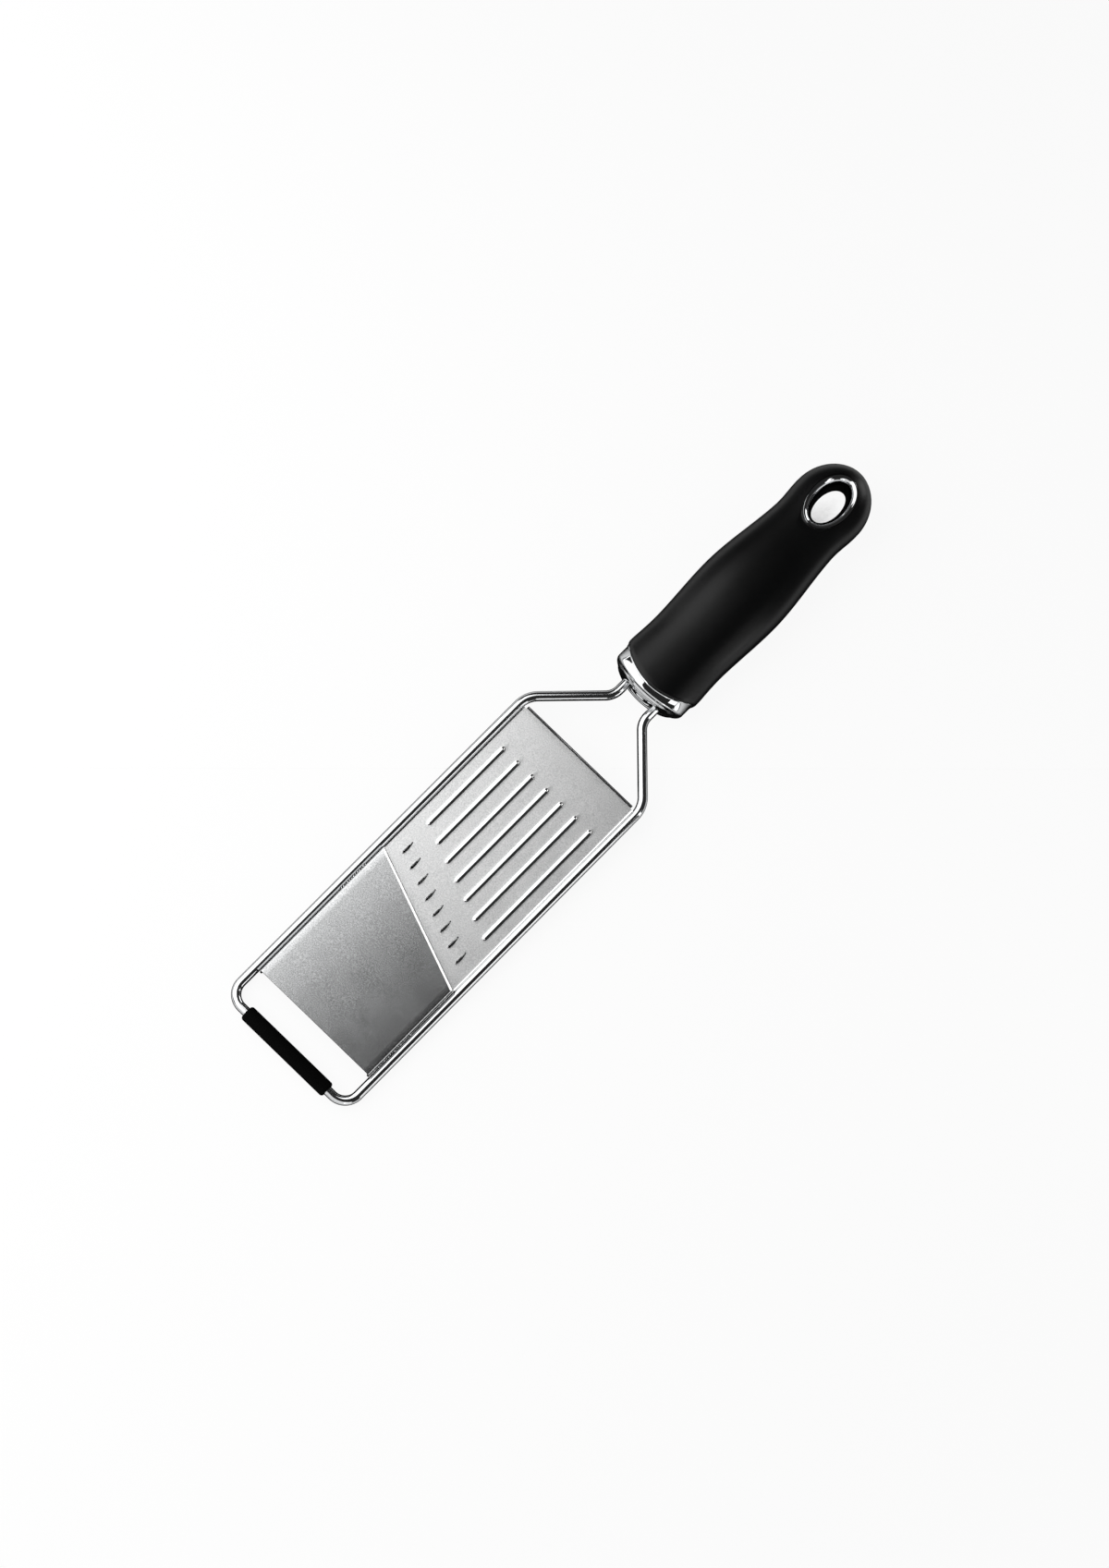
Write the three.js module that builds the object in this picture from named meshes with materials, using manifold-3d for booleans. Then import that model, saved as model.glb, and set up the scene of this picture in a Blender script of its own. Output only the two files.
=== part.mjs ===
// A julienne grater. A bent wire frame carries a ridged runway plate with lanced teeth and a raised blade
// plate with a slanting ground edge. The wire's two tangs end in a soft grip with a bright ferrule.
import * as THREE from "three";
import { mergeVertices } from "three/addons/utils/BufferGeometryUtils.js";
import Module from "manifold-3d";

// Sizes are in millimetres. The tool lies along Y with the handle towards +Y and the cutting side up.
// Its own origin is the middle of the front bar, on the axis of the wire.

// Wire frame
const wireDiameter = 4;
const railSpacing = 63;
const shoulderAt = 166;
const neckAngleDegrees = 44.5;
const tangSpacing = 15.2;
const tangShown = 7.2;
const tangHidden = 52;
const hookReach = 5.5;
const cornerBendRadius = 7;
const shoulderBendRadius = 11;
const neckBendRadius = 8;
const hookBendRadius = 3.2;

// Clearance left round every piece that touches another
const fitGap = 0.3;

// Slanting cutting edge, measured from the front bar along the middle of the tool
const edgeAt = 72.5;
const edgeAngleDegrees = 20.5;
const slotHeight = 2.4;
const slotLead = 0.6;

// Runway plate
const runwayThickness = 0.6;
const runwayTop = 0.4;
const runwayBendRadius = 1.6;
const runwayFlangeRise = 1.9;
const runwaySetback = 3.6;
const rearRollDegrees = 70;
const rearRollInset = 2;

// Pressed ribs, which end square at the rear and along the slant at the front
const ribCount = 7;
const ribPitch = 7.83;
const ribWidth = 2.4;
const ribHeight = 0.5;
const ribSetback = 17;
const ribLead = 20.9;

// Lanced teeth, in a row along the slant
const toothCount = 8;
const toothPitch = 6.42;
const toothLength = 6.4;
const toothHeight = 2.2;
const toothPeakBack = 1.1;
const toothLead = 5.9;
const toothSlotWidth = 1.3;

// Blade plate
const bladeThickness = 0.8;
const bladeFrontAt = 15;
const bladeBendRadius = 1;
const bladeFlangeDepth = 5.2;
const bevelWidth = 1.2;
const bevelTip = 0.12;

// Front foot
const footLength = 43.8;
const footDiameter = 6.6;
const footDrop = 3;
const footEndRound = 0.6;

// Ferrule, measured from the middle of its front face
const ferruleWidth = 34.4;
const ferruleHeight = 20;
const ferruleCrown = 4;
const ferruleEdgeRound = 1.2;
const ferruleFaceThickness = 1.8;
const ferruleWall = 1.2;
const bandTop = 3.4;
const bandSwoop = 8.2;
const skirtLength = 17;

// Grip, with stations measured from the middle of the ferrule's front face
const handleRise = 2;
const gripWall = 2.6;
const gripFullness = 2.4;
const gripEndFullness = 3.2;
const lipStep = 0.9;
const throatAt = 27;
const throatWidth = 35;
const throatThickness = 22.4;
const bellyAt = 59;
const bellyWidth = 37.5;
const bellyThickness = 25;
const waistAt = 92.5;
const waistWidth = 30.8;
const waistThickness = 21.6;
const tailAt = 106;
const tailWidth = 32.1;
const tailThickness = 21;
const tailLength = 18.5;

// Eyelet in the hanging hole
const eyeletAt = 106.4;
const throatHoleLength = 17.3;
const throatHoleWidth = 9.7;
const eyeletFlare = 3.8;
const eyeletRise = 9.2;
const eyeletWall = 1;
const eyeletChamfer = 1.2;

// Core pins, which register the two halves
const pinDiameter = 4;
const pinHeight = 3;
const pinStations = [34, 76];

// Smoothness of round forms
const wireSteps = 8;
const bendSteps = 3;
const sheetBendSteps = 2;
const ribSides = 12;
const ovalSides = 28;
const bowSteps = 9;
const eyeletSides = 24;
const flareSteps = 5;
const gripSteps = 20;
const boreSides = 16;
const tailAngles = [14, 29, 44, 57, 69, 79, 85];
const edgeAngles = [0, 45, 90];

// Worked out from the sizes above
const wireRadius = wireDiameter / 2;
const railHalf = railSpacing / 2;
const tangHalf = tangSpacing / 2;
const neckAngle = THREE.MathUtils.degToRad(neckAngleDegrees);
const edgeSlope = Math.tan(THREE.MathUtils.degToRad(edgeAngleDegrees));
const neckAt = shoulderAt + (railHalf - tangHalf) / Math.tan(neckAngle);
const faceAt = neckAt + tangShown;
const tangEndAt = faceAt + tangHidden;
const plateHalf = railHalf - wireRadius - fitGap;
const runwayRearAt = shoulderAt - runwaySetback;
const runwayUnder = runwayTop - runwayThickness;
const bladeUnder = runwayTop + slotHeight;
const bladeTop = bladeUnder + bladeThickness;
const skirtInset = gripWall + fitGap;
const spigotInset = skirtInset + ferruleWall + fitGap;
const skirtEndAt = faceAt + skirtLength;
const lipWidth = ferruleWidth + 2 * lipStep;
const lipThickness = ferruleHeight + 2 * lipStep;

// How far the cutters reach past the middle, which is past the sides of every piece
const beyond = railSpacing;

const X = new THREE.Vector3(1, 0, 0);
const Y = new THREE.Vector3(0, 1, 0);
const Z = new THREE.Vector3(0, 0, 1);
const drawnInYZ = new THREE.Matrix4().makeBasis(Y, Z, X);
const drawnInXZ = new THREE.Matrix4().makeBasis(X, Z, Y.clone().negate());

const wasm = await Module();
wasm.setup();

// Solids

// A closed geometry as a solid that can be joined and cut.
function solid(geometry) {
  const bare = geometry.clone();
  bare.deleteAttribute("normal");
  bare.deleteAttribute("uv");
  const merged = mergeVertices(bare);
  const corners = merged.index.array;
  const kept = [];
  for (let i = 0; i < corners.length; i += 3) {
    const [a, b, c] = corners.slice(i, i + 3);
    if (a !== b && b !== c && c !== a) kept.push(a, b, c);
  }
  const vertProperties = merged.attributes.position.array;
  return new wasm.Manifold(new wasm.Mesh({ numProp: 3, vertProperties, triVerts: new Uint32Array(kept) }));
}

// A named mesh of a solid, with flat facets.
function piece(name, shape, look) {
  const mesh = shape.getMesh();
  const geometry = new THREE.BufferGeometry();
  geometry.setAttribute("position", new THREE.BufferAttribute(mesh.vertProperties, mesh.numProp));
  geometry.setIndex(new THREE.BufferAttribute(mesh.triVerts, 1));
  const facets = geometry.toNonIndexed();
  facets.computeVertexNormals();
  const made = new THREE.Mesh(facets, new THREE.MeshStandardMaterial(look));
  made.name = name;
  return made;
}

// A flat outline pushed straight through a depth.
function prism(outline, depth, curveSegments = sheetBendSteps) {
  return new THREE.ExtrudeGeometry(outline, { depth, curveSegments, bevelEnabled: false });
}

// An outline drawn in X and Z, pushed along Y.
function prismAlongY(outline, from, to) {
  return solid(prism(outline, to - from).applyMatrix4(drawnInXZ).translate(0, to, 0));
}

// An outline drawn in Y and Z, pushed along X.
function prismAlongX(outline, from, to) {
  return solid(prism(outline, to - from).applyMatrix4(drawnInYZ).translate(from, 0, 0));
}

// An outline drawn in X and Y, pushed up and down through the whole tool.
function prismThrough(outline) {
  return solid(prism(outline, 2 * beyond, bowSteps).translate(0, 0, -beyond));
}

// Everything between two stations along Y.
function stretch(from, to) {
  const block = new THREE.BoxGeometry(2 * beyond, to - from, 2 * beyond);
  return solid(block.translate(0, (from + to) / 2, 0));
}

// Everything above a height.
function above(height) {
  const length = 4 * faceAt;
  return solid(new THREE.BoxGeometry(2 * beyond, length, beyond).translate(0, 0, height + beyond / 2));
}

// A closed skin over rings that have the same number of points. Its ends are strips across the first and
// the last ring, from each point to its twin on the far side.
function loft(rings) {
  const sides = rings[0].length;
  const index = [];
  for (let r = 0; r + 1 < rings.length; r++) {
    for (let i = 0; i < sides; i++) {
      const a = r * sides + i;
      const b = r * sides + ((i + 1) % sides);
      index.push(a, b, b + sides, a, b + sides, a + sides);
    }
  }
  const last = (rings.length - 1) * sides;
  for (let i = 0; i < sides / 2; i++) {
    const [a, b, c, d] = [i, i + 1, sides - i - 1, (sides - i) % sides];
    index.push(a, c, b, a, d, c);
    index.push(last + a, last + b, last + c, last + a, last + c, last + d);
  }
  return solid(new THREE.BufferGeometry().setFromPoints(rings.flat()).setIndex(index));
}

// Wire frame

// A line through corners that are rounded to their bend radius. Its steps fall on the bends alone.
class BentLine extends THREE.Curve {
  constructor(corners) {
    super();
    const bends = corners.slice(1, -1).flatMap((corner, i) => {
      return bendPoints(corners[i].at, corner.at, corners[i + 2].at, corner.radius);
    });
    const flat = [corners[0].at, ...bends, corners.at(-1).at];
    this.stations = flat.map((p) => new THREE.Vector3(p.x, p.y, 0));
  }

  getPoint(t, target = new THREE.Vector3()) {
    const place = t * (this.stations.length - 1);
    const index = Math.min(Math.floor(place), this.stations.length - 2);
    return target.lerpVectors(this.stations[index], this.stations[index + 1], place - index);
  }

  getUtoTmapping(u) {
    return u;
  }
}

// The points of the arc that rounds one corner.
function bendPoints(before, corner, after, radius) {
  const arriving = corner.clone().sub(before).normalize();
  const leaving = after.clone().sub(corner).normalize();
  const turn = Math.atan2(arriving.cross(leaving), arriving.dot(leaving));
  const setback = radius * Math.tan(Math.abs(turn) / 2);
  const start = corner.clone().addScaledVector(arriving, -setback);
  const inward = new THREE.Vector2(-arriving.y, arriving.x).multiplyScalar(Math.sign(turn) * radius);
  const centre = start.clone().add(inward);
  const from = Math.atan2(-inward.y, -inward.x);
  const arc = new THREE.EllipseCurve(centre.x, centre.y, radius, radius, from, from + turn, turn < 0);
  return arc.getPoints(Math.ceil((Math.abs(turn) / (Math.PI / 4)) * bendSteps));
}

// The frame's centre line, from the left hook round the front bar to the right hook.
function frameLine() {
  const corner = (x, y, radius = 0) => ({ at: new THREE.Vector2(x, y), radius });
  const right = [
    corner(railHalf, 0, cornerBendRadius),
    corner(railHalf, shoulderAt, shoulderBendRadius),
    corner(tangHalf, neckAt, neckBendRadius),
    corner(tangHalf, tangEndAt, hookBendRadius),
    corner(tangHalf + hookReach, tangEndAt),
  ];
  const left = right.map(({ at, radius }) => corner(-at.x, at.y, radius)).reverse();
  return new BentLine([...left, ...right]);
}

// The wire swept along its centre line, or the space that it takes up when a clearance is added.
function bentWire(radius) {
  const path = frameLine();
  const section = new THREE.Shape().absarc(0, 0, radius, 0, 2 * Math.PI);
  const steps = path.stations.length - 1;
  const options = { steps, extrudePath: path, curveSegments: wireSteps, bevelEnabled: false };
  return solid(new THREE.ExtrudeGeometry(section, options));
}

// Sheet metal

const sidesUp = 1;
const sidesDown = -1;

// The section of a plate whose two sides are bent into flanges. The level is that of its outer face.
function channel(level, turn, reach, thickness, bendRadius) {
  const quarter = -turn * (Math.PI / 2);
  const up = turn > 0;
  const inner = bendRadius - thickness;
  const bendX = plateHalf - bendRadius;
  const bendZ = level + turn * bendRadius;
  const endZ = level + turn * reach;
  return new THREE.Shape()
    .moveTo(plateHalf, endZ)
    .lineTo(plateHalf, bendZ)
    .absarc(bendX, bendZ, bendRadius, 0, quarter, up)
    .absarc(-bendX, bendZ, bendRadius, quarter, 2 * quarter, up)
    .lineTo(-plateHalf, endZ)
    .lineTo(thickness - plateHalf, endZ)
    .absarc(-bendX, bendZ, inner, 2 * quarter, quarter, !up)
    .absarc(bendX, bendZ, inner, quarter, 0, !up)
    .lineTo(plateHalf - thickness, endZ);
}

// Where a line along the slant crosses the tool at a given distance from its middle.
function slantAt(lead, x) {
  return edgeAt + lead - x * edgeSlope;
}

// Everything behind a line along the slant, towards the handle.
function behindSlant(lead) {
  const outline = new THREE.Shape()
    .moveTo(-beyond, slantAt(lead, -beyond))
    .lineTo(beyond, slantAt(lead, beyond))
    .lineTo(beyond, faceAt)
    .lineTo(-beyond, faceAt);
  return prismThrough(outline);
}

// The places across the tool of a centred pattern.
function across(count, pitch) {
  return Array.from({ length: count }, (unused, i) => (i - (count - 1) / 2) * pitch);
}

// A round bar with domed ends that forms one rib, or the hollow under it.
function ribBar(x, radius, middleZ) {
  const from = slantAt(ribLead, x) + ribWidth / 2;
  const to = runwayRearAt - ribSetback - ribWidth / 2;
  const bar = new THREE.CapsuleGeometry(radius, to - from, sheetBendSteps, ribSides);
  return solid(bar.translate(x, (from + to) / 2, middleZ));
}

// One pressed rib as the dome that is raised and the hollow that is left below it.
function pressedRib(x) {
  const radius = (ribWidth * ribWidth) / (8 * ribHeight) + ribHeight / 2;
  const middleZ = runwayTop + ribHeight - radius;
  return {
    raised: ribBar(x, radius, middleZ).intersect(above(runwayTop - runwayThickness / 2)),
    hollow: ribBar(x, radius - runwayThickness, middleZ),
  };
}

// One lanced tooth as the fin that is turned up and the slot that it leaves in the sheet.
function lancedTooth(x) {
  const from = slantAt(toothLead, x);
  const root = runwayTop - runwayThickness / 2;
  const fin = new THREE.Shape()
    .moveTo(from, root)
    .lineTo(from + toothLength, root)
    .lineTo(from + toothLength, runwayTop)
    .quadraticCurveTo(from + toothLength / 2, runwayTop, from + toothPeakBack, runwayTop + toothHeight)
    .lineTo(from, runwayTop);
  const slot = new THREE.Shape()
    .moveTo(x, from)
    .lineTo(x + toothSlotWidth, from)
    .lineTo(x, from + toothLength);
  return {
    raised: prismAlongX(fin, x - runwayThickness, x),
    hollow: prismThrough(slot),
  };
}

// The rear edge of the runway, rolled down out of the way of the hand.
function rearRoll() {
  const quarter = Math.PI / 2;
  const end = quarter - THREE.MathUtils.degToRad(rearRollDegrees);
  const middleZ = runwayTop - runwayBendRadius;
  const lap = runwayThickness;
  const outline = new THREE.Shape()
    .moveTo(runwayRearAt - lap, runwayTop)
    .lineTo(runwayRearAt - lap, runwayUnder)
    .absarc(runwayRearAt, middleZ, runwayBendRadius - runwayThickness, quarter, end, true)
    .absarc(runwayRearAt, middleZ, runwayBendRadius, end, quarter);
  const half = plateHalf - rearRollInset;
  return prismAlongX(outline, -half, half);
}

function runwayPlate() {
  const section = channel(runwayUnder, sidesUp, runwayFlangeRise, runwayThickness, runwayBendRadius);
  const sheet = prismAlongY(section, 0, runwayRearAt).intersect(behindSlant(slotLead)).add(rearRoll());
  const ribs = across(ribCount, ribPitch).map(pressedRib);
  const teeth = across(toothCount, toothPitch).map(lancedTooth);
  return [...ribs, ...teeth].reduce((plate, { raised, hollow }) => {
    return plate.subtract(hollow).add(raised.subtract(hollow));
  }, sheet);
}

// The wedge that grinding takes off the top of the blade along its edge.
function groundBevel() {
  const outline = new THREE.Shape()
    .moveTo(-bevelWidth, bladeTop)
    .lineTo(0, bladeUnder + bevelTip)
    .lineTo(bevelWidth, bladeUnder + bevelTip)
    .lineTo(bevelWidth, bladeTop + bladeThickness)
    .lineTo(-bevelWidth, bladeTop + bladeThickness);
  const turn = THREE.MathUtils.degToRad(-edgeAngleDegrees);
  const wedge = prism(outline, 2 * beyond).applyMatrix4(drawnInYZ).translate(-beyond, 0, 0);
  return solid(wedge.rotateZ(turn).translate(0, edgeAt, 0));
}

function bladePlate() {
  const section = channel(bladeTop, sidesDown, bladeFlangeDepth, bladeThickness, bladeBendRadius);
  return prismAlongY(section, bladeFrontAt, faceAt).subtract(behindSlant(0)).subtract(groundBevel());
}

// Foot

// A rubber sleeve with a flat sole, drawn round the axis of the front bar.
function frontFoot() {
  const radius = footDiameter / 2 - footEndRound;
  const drop = footDrop - footEndRound;
  const flat = Math.asin(drop / radius);
  const outline = new THREE.Shape().absarc(0, 0, radius, -flat, Math.PI + flat);
  const depth = footLength - 2 * footEndRound;
  const sleeve = new THREE.ExtrudeGeometry(outline, {
    depth,
    curveSegments: boreSides,
    bevelThickness: footEndRound,
    bevelSize: footEndRound,
    bevelSegments: 2,
  });
  const bore = new THREE.CylinderGeometry(
    wireRadius + fitGap,
    wireRadius + fitGap,
    2 * footLength,
    boreSides,
  );
  const body = solid(sleeve.applyMatrix4(drawnInYZ).translate(-depth / 2, 0, 0));
  return body.subtract(solid(bore.rotateZ(Math.PI / 2)));
}

// Handle

// A ring of points on a full oval that stands square to Y.
function ovalRing(halfWidth, y, halfHeight) {
  const power = 2 / gripFullness;
  const reach = (part) => Math.sign(part) * Math.abs(part) ** power;
  return Array.from({ length: ovalSides }, (unused, i) => {
    const angle = (-2 * Math.PI * i) / ovalSides;
    const x = halfWidth * reach(Math.cos(angle));
    return new THREE.Vector3(x, y, handleRise + halfHeight * reach(Math.sin(angle)));
  });
}

// The grip's outer form, or the same form drawn in all round by an inset.
function gripForm(inset) {
  const station = (at, width, thickness) => {
    return new THREE.Vector3(width / 2 - inset, faceAt + at, thickness / 2 - inset);
  };
  const line = new THREE.CatmullRomCurve3([
    station(-bandSwoop, lipWidth, lipThickness),
    station(bandTop + bandSwoop, lipWidth, lipThickness),
    station(throatAt, throatWidth, throatThickness),
    station(bellyAt, bellyWidth, bellyThickness),
    station(waistAt, waistWidth, waistThickness),
    station(tailAt, tailWidth, tailThickness),
  ]);
  const tail = line.getPoint(1);
  const end = tailAngles.map((degrees) => {
    const along = Math.sin(THREE.MathUtils.degToRad(degrees));
    const round = Math.cos(THREE.MathUtils.degToRad(degrees));
    const fall = (1 - along ** gripEndFullness) ** (1 / gripEndFullness);
    return new THREE.Vector3(tail.x * round, tail.y + (tailLength - inset) * along, tail.z * fall);
  });
  const stations = [...line.getPoints(gripSteps), ...end];
  return loft(stations.map((p) => ovalRing(p.x, p.y, p.z)));
}

// The radius of an arc that falls back by a bow over half a width.
function bowRadius(half, bow) {
  return (half * half + bow * bow) / (2 * bow);
}

const crownRadius = bowRadius(ferruleWidth / 2, ferruleCrown);
const swoopRadius = bowRadius(lipWidth / 2, bandSwoop);

// Everything behind a front that, seen from above, is bowed to a radius over half a width to each side.
function behindBow(middleAt, radius, half) {
  const endAt = faceAt + 2 * beyond;
  const spread = Math.asin(half / radius);
  const sideAt = middleAt + radius * (1 - Math.cos(spread));
  const down = -Math.PI / 2;
  const outline = new THREE.Shape()
    .moveTo(-beyond, sideAt)
    .lineTo(-beyond, endAt)
    .lineTo(beyond, endAt)
    .lineTo(beyond, sideAt)
    .absarc(0, middleAt + radius, radius, down + spread, down - spread, true);
  return prismThrough(outline);
}

const wireSpace = bentWire(wireRadius + fitGap);

// A ring of the ferrule's own oval, drawn in by an inset and bowed back at its sides to a radius.
function bowedRing(drawnIn, y, radius) {
  const ring = ovalRing(ferruleWidth / 2 - drawnIn, y, ferruleHeight / 2 - drawnIn);
  return ring.map((p) => p.setY(y + radius - Math.sqrt(radius * radius - p.x * p.x)));
}

// The bright collar: a bowed face and band that show, and a skirt that goes under the grip.
function ferrule() {
  const edge = edgeAngles.map((degrees) => {
    const angle = THREE.MathUtils.degToRad(degrees);
    const drawnIn = ferruleEdgeRound * (1 - Math.sin(angle));
    return bowedRing(drawnIn, faceAt + ferruleEdgeRound * (1 - Math.cos(angle)), crownRadius);
  });
  const band = loft([...edge, bowedRing(0, faceAt + bandTop - fitGap, swoopRadius + fitGap)]);
  const skirt = gripForm(skirtInset).intersect(stretch(faceAt + ferruleCrown, skirtEndAt));
  const hollow = gripForm(skirtInset + ferruleWall).intersect(
    behindBow(faceAt + ferruleFaceThickness, crownRadius, ferruleWidth / 2),
  );
  return band.add(skirt).subtract(hollow).subtract(wireSpace);
}

// The levels of the eyelet's funnel, from its narrow middle up to its rim.
function flareLevels(inset) {
  return Array.from({ length: flareSteps + 1 }, (unused, i) => {
    const angle = ((Math.PI / 2) * i) / flareSteps;
    const grow = eyeletFlare - (eyeletFlare - inset) * Math.cos(angle);
    return { grow, z: (eyeletRise - inset) * Math.sin(angle) };
  });
}

// A stack of ovals round the hanging hole, each grown from the hole's own size.
function ovalStack(levels) {
  const rings = levels.map(({ grow, z }) => {
    const halfWidth = throatHoleWidth / 2 + grow;
    const halfLength = throatHoleLength / 2 + grow;
    const oval = new THREE.EllipseCurve(0, faceAt + eyeletAt, halfWidth, halfLength);
    const points = oval.getPoints(eyeletSides).slice(1);
    return points.map((p) => new THREE.Vector3(p.x, p.y, handleRise + z));
  });
  return loft(rings);
}

// The room that the eyelet takes up in the grip and the core, open at both faces of the handle.
function hangingHole() {
  const inset = eyeletWall + fitGap;
  const mouth = { grow: eyeletFlare + fitGap, z: eyeletRise - inset };
  const brink = { ...mouth, z: eyeletRise };
  const wide = { grow: brink.grow + eyeletChamfer, z: brink.z + eyeletChamfer };
  const upper = [...flareLevels(inset).slice(1, -1), mouth, brink, wide, { ...wide, z: beyond }];
  const lower = upper.map(({ grow, z }) => ({ grow, z: -z })).reverse();
  return ovalStack([...lower, { grow: inset, z: 0 }, ...upper]);
}

// One half of the eyelet: a funnel with an even wall.
function eyeletHalf() {
  const outer = flareLevels(eyeletWall);
  const rim = { grow: eyeletFlare, z: eyeletRise };
  const body = ovalStack([{ ...outer[0], z: fitGap / 2 }, ...outer.slice(1), rim]);
  return body.subtract(ovalStack([{ grow: 0, z: -fitGap }, ...flareLevels(0), { ...rim, z: beyond }]));
}

const eyeletRoom = hangingHole();

function grip() {
  const front = behindBow(faceAt + bandTop, swoopRadius, lipWidth / 2);
  return gripForm(0).intersect(front).subtract(gripForm(gripWall)).subtract(eyeletRoom);
}

// The rigid core, with the wire's channels and a spigot inside the ferrule.
function core() {
  const body = gripForm(skirtInset).intersect(stretch(skirtEndAt + fitGap, faceAt + tailAt + beyond));
  const spigotFrom = faceAt + ferruleFaceThickness + ferruleCrown;
  const spigot = gripForm(spigotInset).intersect(stretch(spigotFrom, skirtEndAt + gripWall));
  return body.add(spigot).subtract(wireSpace).subtract(eyeletRoom);
}

// The pins of the lower core, or the sockets for them in the upper core.
function corePins(clearance) {
  const radius = pinDiameter / 2 + clearance;
  const height = 2 * (pinHeight + clearance);
  const pins = pinStations.map((at) => {
    const pin = new THREE.CylinderGeometry(radius, radius, height, boreSides);
    return solid(pin.rotateX(Math.PI / 2).translate(0, faceAt + at, 0));
  });
  return pins.reduce((joined, pin) => joined.add(pin));
}

const wholeCore = core();
const seam = fitGap / 2;

function coreLower() {
  return wholeCore.subtract(above(-seam)).add(corePins(0));
}

function coreUpper() {
  return wholeCore.intersect(above(seam)).subtract(corePins(fitGap));
}

// Assembly

const steel = { color: 0xd6d8da, metalness: 1, roughness: 0.2 };
const satinSteel = { color: 0xc4c6c8, metalness: 1, roughness: 0.45 };
const bladeSteel = { color: 0xa4a6a8, metalness: 1, roughness: 0.4 };
const chrome = { color: 0xe8eaec, metalness: 1, roughness: 0.05 };
const softGrip = { color: 0x17181a, metalness: 0, roughness: 0.65 };
const rubber = { color: 0x0c0c0d, metalness: 0, roughness: 0.8 };
const corePlastic = { color: 0x3a3c3e, metalness: 0, roughness: 0.6 };

const gripMesh = piece("grip", grip(), softGrip);

// The tilt at which the tool lies on a table, on the sole of its foot and the belly of its grip.
function restTilt() {
  const points = gripMesh.geometry.attributes.position;
  let tilt = 0;
  for (let i = 0; i < points.count; i++) {
    const reach = Math.hypot(points.getY(i), points.getZ(i));
    const fall = Math.atan2(-points.getZ(i), points.getY(i));
    tilt = Math.max(tilt, fall - Math.asin(footDrop / reach));
  }
  return tilt;
}

// The lower half of the eyelet is the upper one turned over about the length of the handle.
const eyeletUpper = piece("eyelet_upper", eyeletHalf(), chrome);
const eyeletLower = eyeletUpper.clone();
eyeletLower.name = "eyelet_lower";
eyeletLower.rotation.y = Math.PI;
eyeletLower.position.z = 2 * handleRise;

const tool = new THREE.Group();
tool.add(
  piece("wire_frame", bentWire(wireRadius), steel),
  piece("runway_plate", runwayPlate(), satinSteel),
  piece("blade_plate", bladePlate(), bladeSteel),
  piece("ferrule", ferrule(), chrome),
  piece("core_lower", coreLower(), corePlastic),
  piece("core_upper", coreUpper(), corePlastic),
  gripMesh,
  eyeletUpper,
  eyeletLower,
);
tool.rotation.x = restTilt();

// The finished part stands on the floor, with the middle of its footprint at the origin.
const lying = new THREE.Group();
lying.add(tool, piece("front_foot", frontFoot(), rubber));
const box = new THREE.Box3().setFromObject(lying, true);
const middle = box.getCenter(new THREE.Vector3());
lying.position.set(-middle.x, -middle.y, -box.min.z);

const grater = new THREE.Group();
grater.add(lying);

export default grater;
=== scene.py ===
# %% [markdown]
# A julienne grater, dressed for a studio picture.
#
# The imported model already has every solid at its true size. This lesson keeps those solids as the frame
# and makes a finer piece for each one that shows: the bent wire, the two steel plates, the ferrule, the
# grip, the eyelet and the foot. All pieces are drawn in millimetres along the tool itself and then laid
# down together.

# %% Load the frame
from math import atan2, cos, degrees, pi, radians, sin, sqrt, tan

import bmesh
import bpy
from mathutils import Matrix, Vector


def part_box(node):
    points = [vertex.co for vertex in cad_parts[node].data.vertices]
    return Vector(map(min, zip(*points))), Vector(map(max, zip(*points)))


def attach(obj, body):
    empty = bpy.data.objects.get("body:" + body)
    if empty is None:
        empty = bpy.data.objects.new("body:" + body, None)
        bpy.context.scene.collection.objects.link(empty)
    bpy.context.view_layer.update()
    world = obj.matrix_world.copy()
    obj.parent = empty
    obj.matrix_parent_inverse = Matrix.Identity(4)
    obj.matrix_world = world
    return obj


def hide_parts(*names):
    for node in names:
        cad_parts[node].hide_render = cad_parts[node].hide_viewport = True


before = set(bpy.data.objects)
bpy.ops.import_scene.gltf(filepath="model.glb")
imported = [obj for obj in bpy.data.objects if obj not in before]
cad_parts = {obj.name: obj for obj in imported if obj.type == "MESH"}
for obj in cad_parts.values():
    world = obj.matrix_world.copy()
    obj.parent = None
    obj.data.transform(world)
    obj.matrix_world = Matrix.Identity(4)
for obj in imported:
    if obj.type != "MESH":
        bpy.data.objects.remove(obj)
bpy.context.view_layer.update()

print("CAD nodes:", sorted(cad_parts))

# %% [markdown]
# The tool lies on the sole of its front foot and the belly of its grip, so it is tilted a little. Drawing
# each piece on a tilted axis would be hard to read. It is easier to draw the tool level, with the axis of
# the front bar at the origin and the handle along +Y, and to move every finished mesh by one matrix. The
# matrix comes from two places that the frame gives: the middle of the foot and the middle of the eyelet.

# %% The matrix that lays the tool down
MM = 0.001
# From the axis of the front bar: down to the sole, up to the handle's axis, back to the ferrule's face.
FOOT_DROP = 3.0
HANDLE_RISE = 2.0
FACE_AT = 197.52
EYELET_BEHIND_FACE = 106.4
EYELET_AT = FACE_AT + EYELET_BEHIND_FACE


def middle(*nodes):
    """The middle of the box round some CAD nodes, in metres."""
    boxes = [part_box(name) for name in nodes]
    low = Vector([min(box[0][i] for box in boxes) for i in range(3)])
    high = Vector([max(box[1][i] for box in boxes) for i in range(3)])
    return (low + high) / 2


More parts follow.
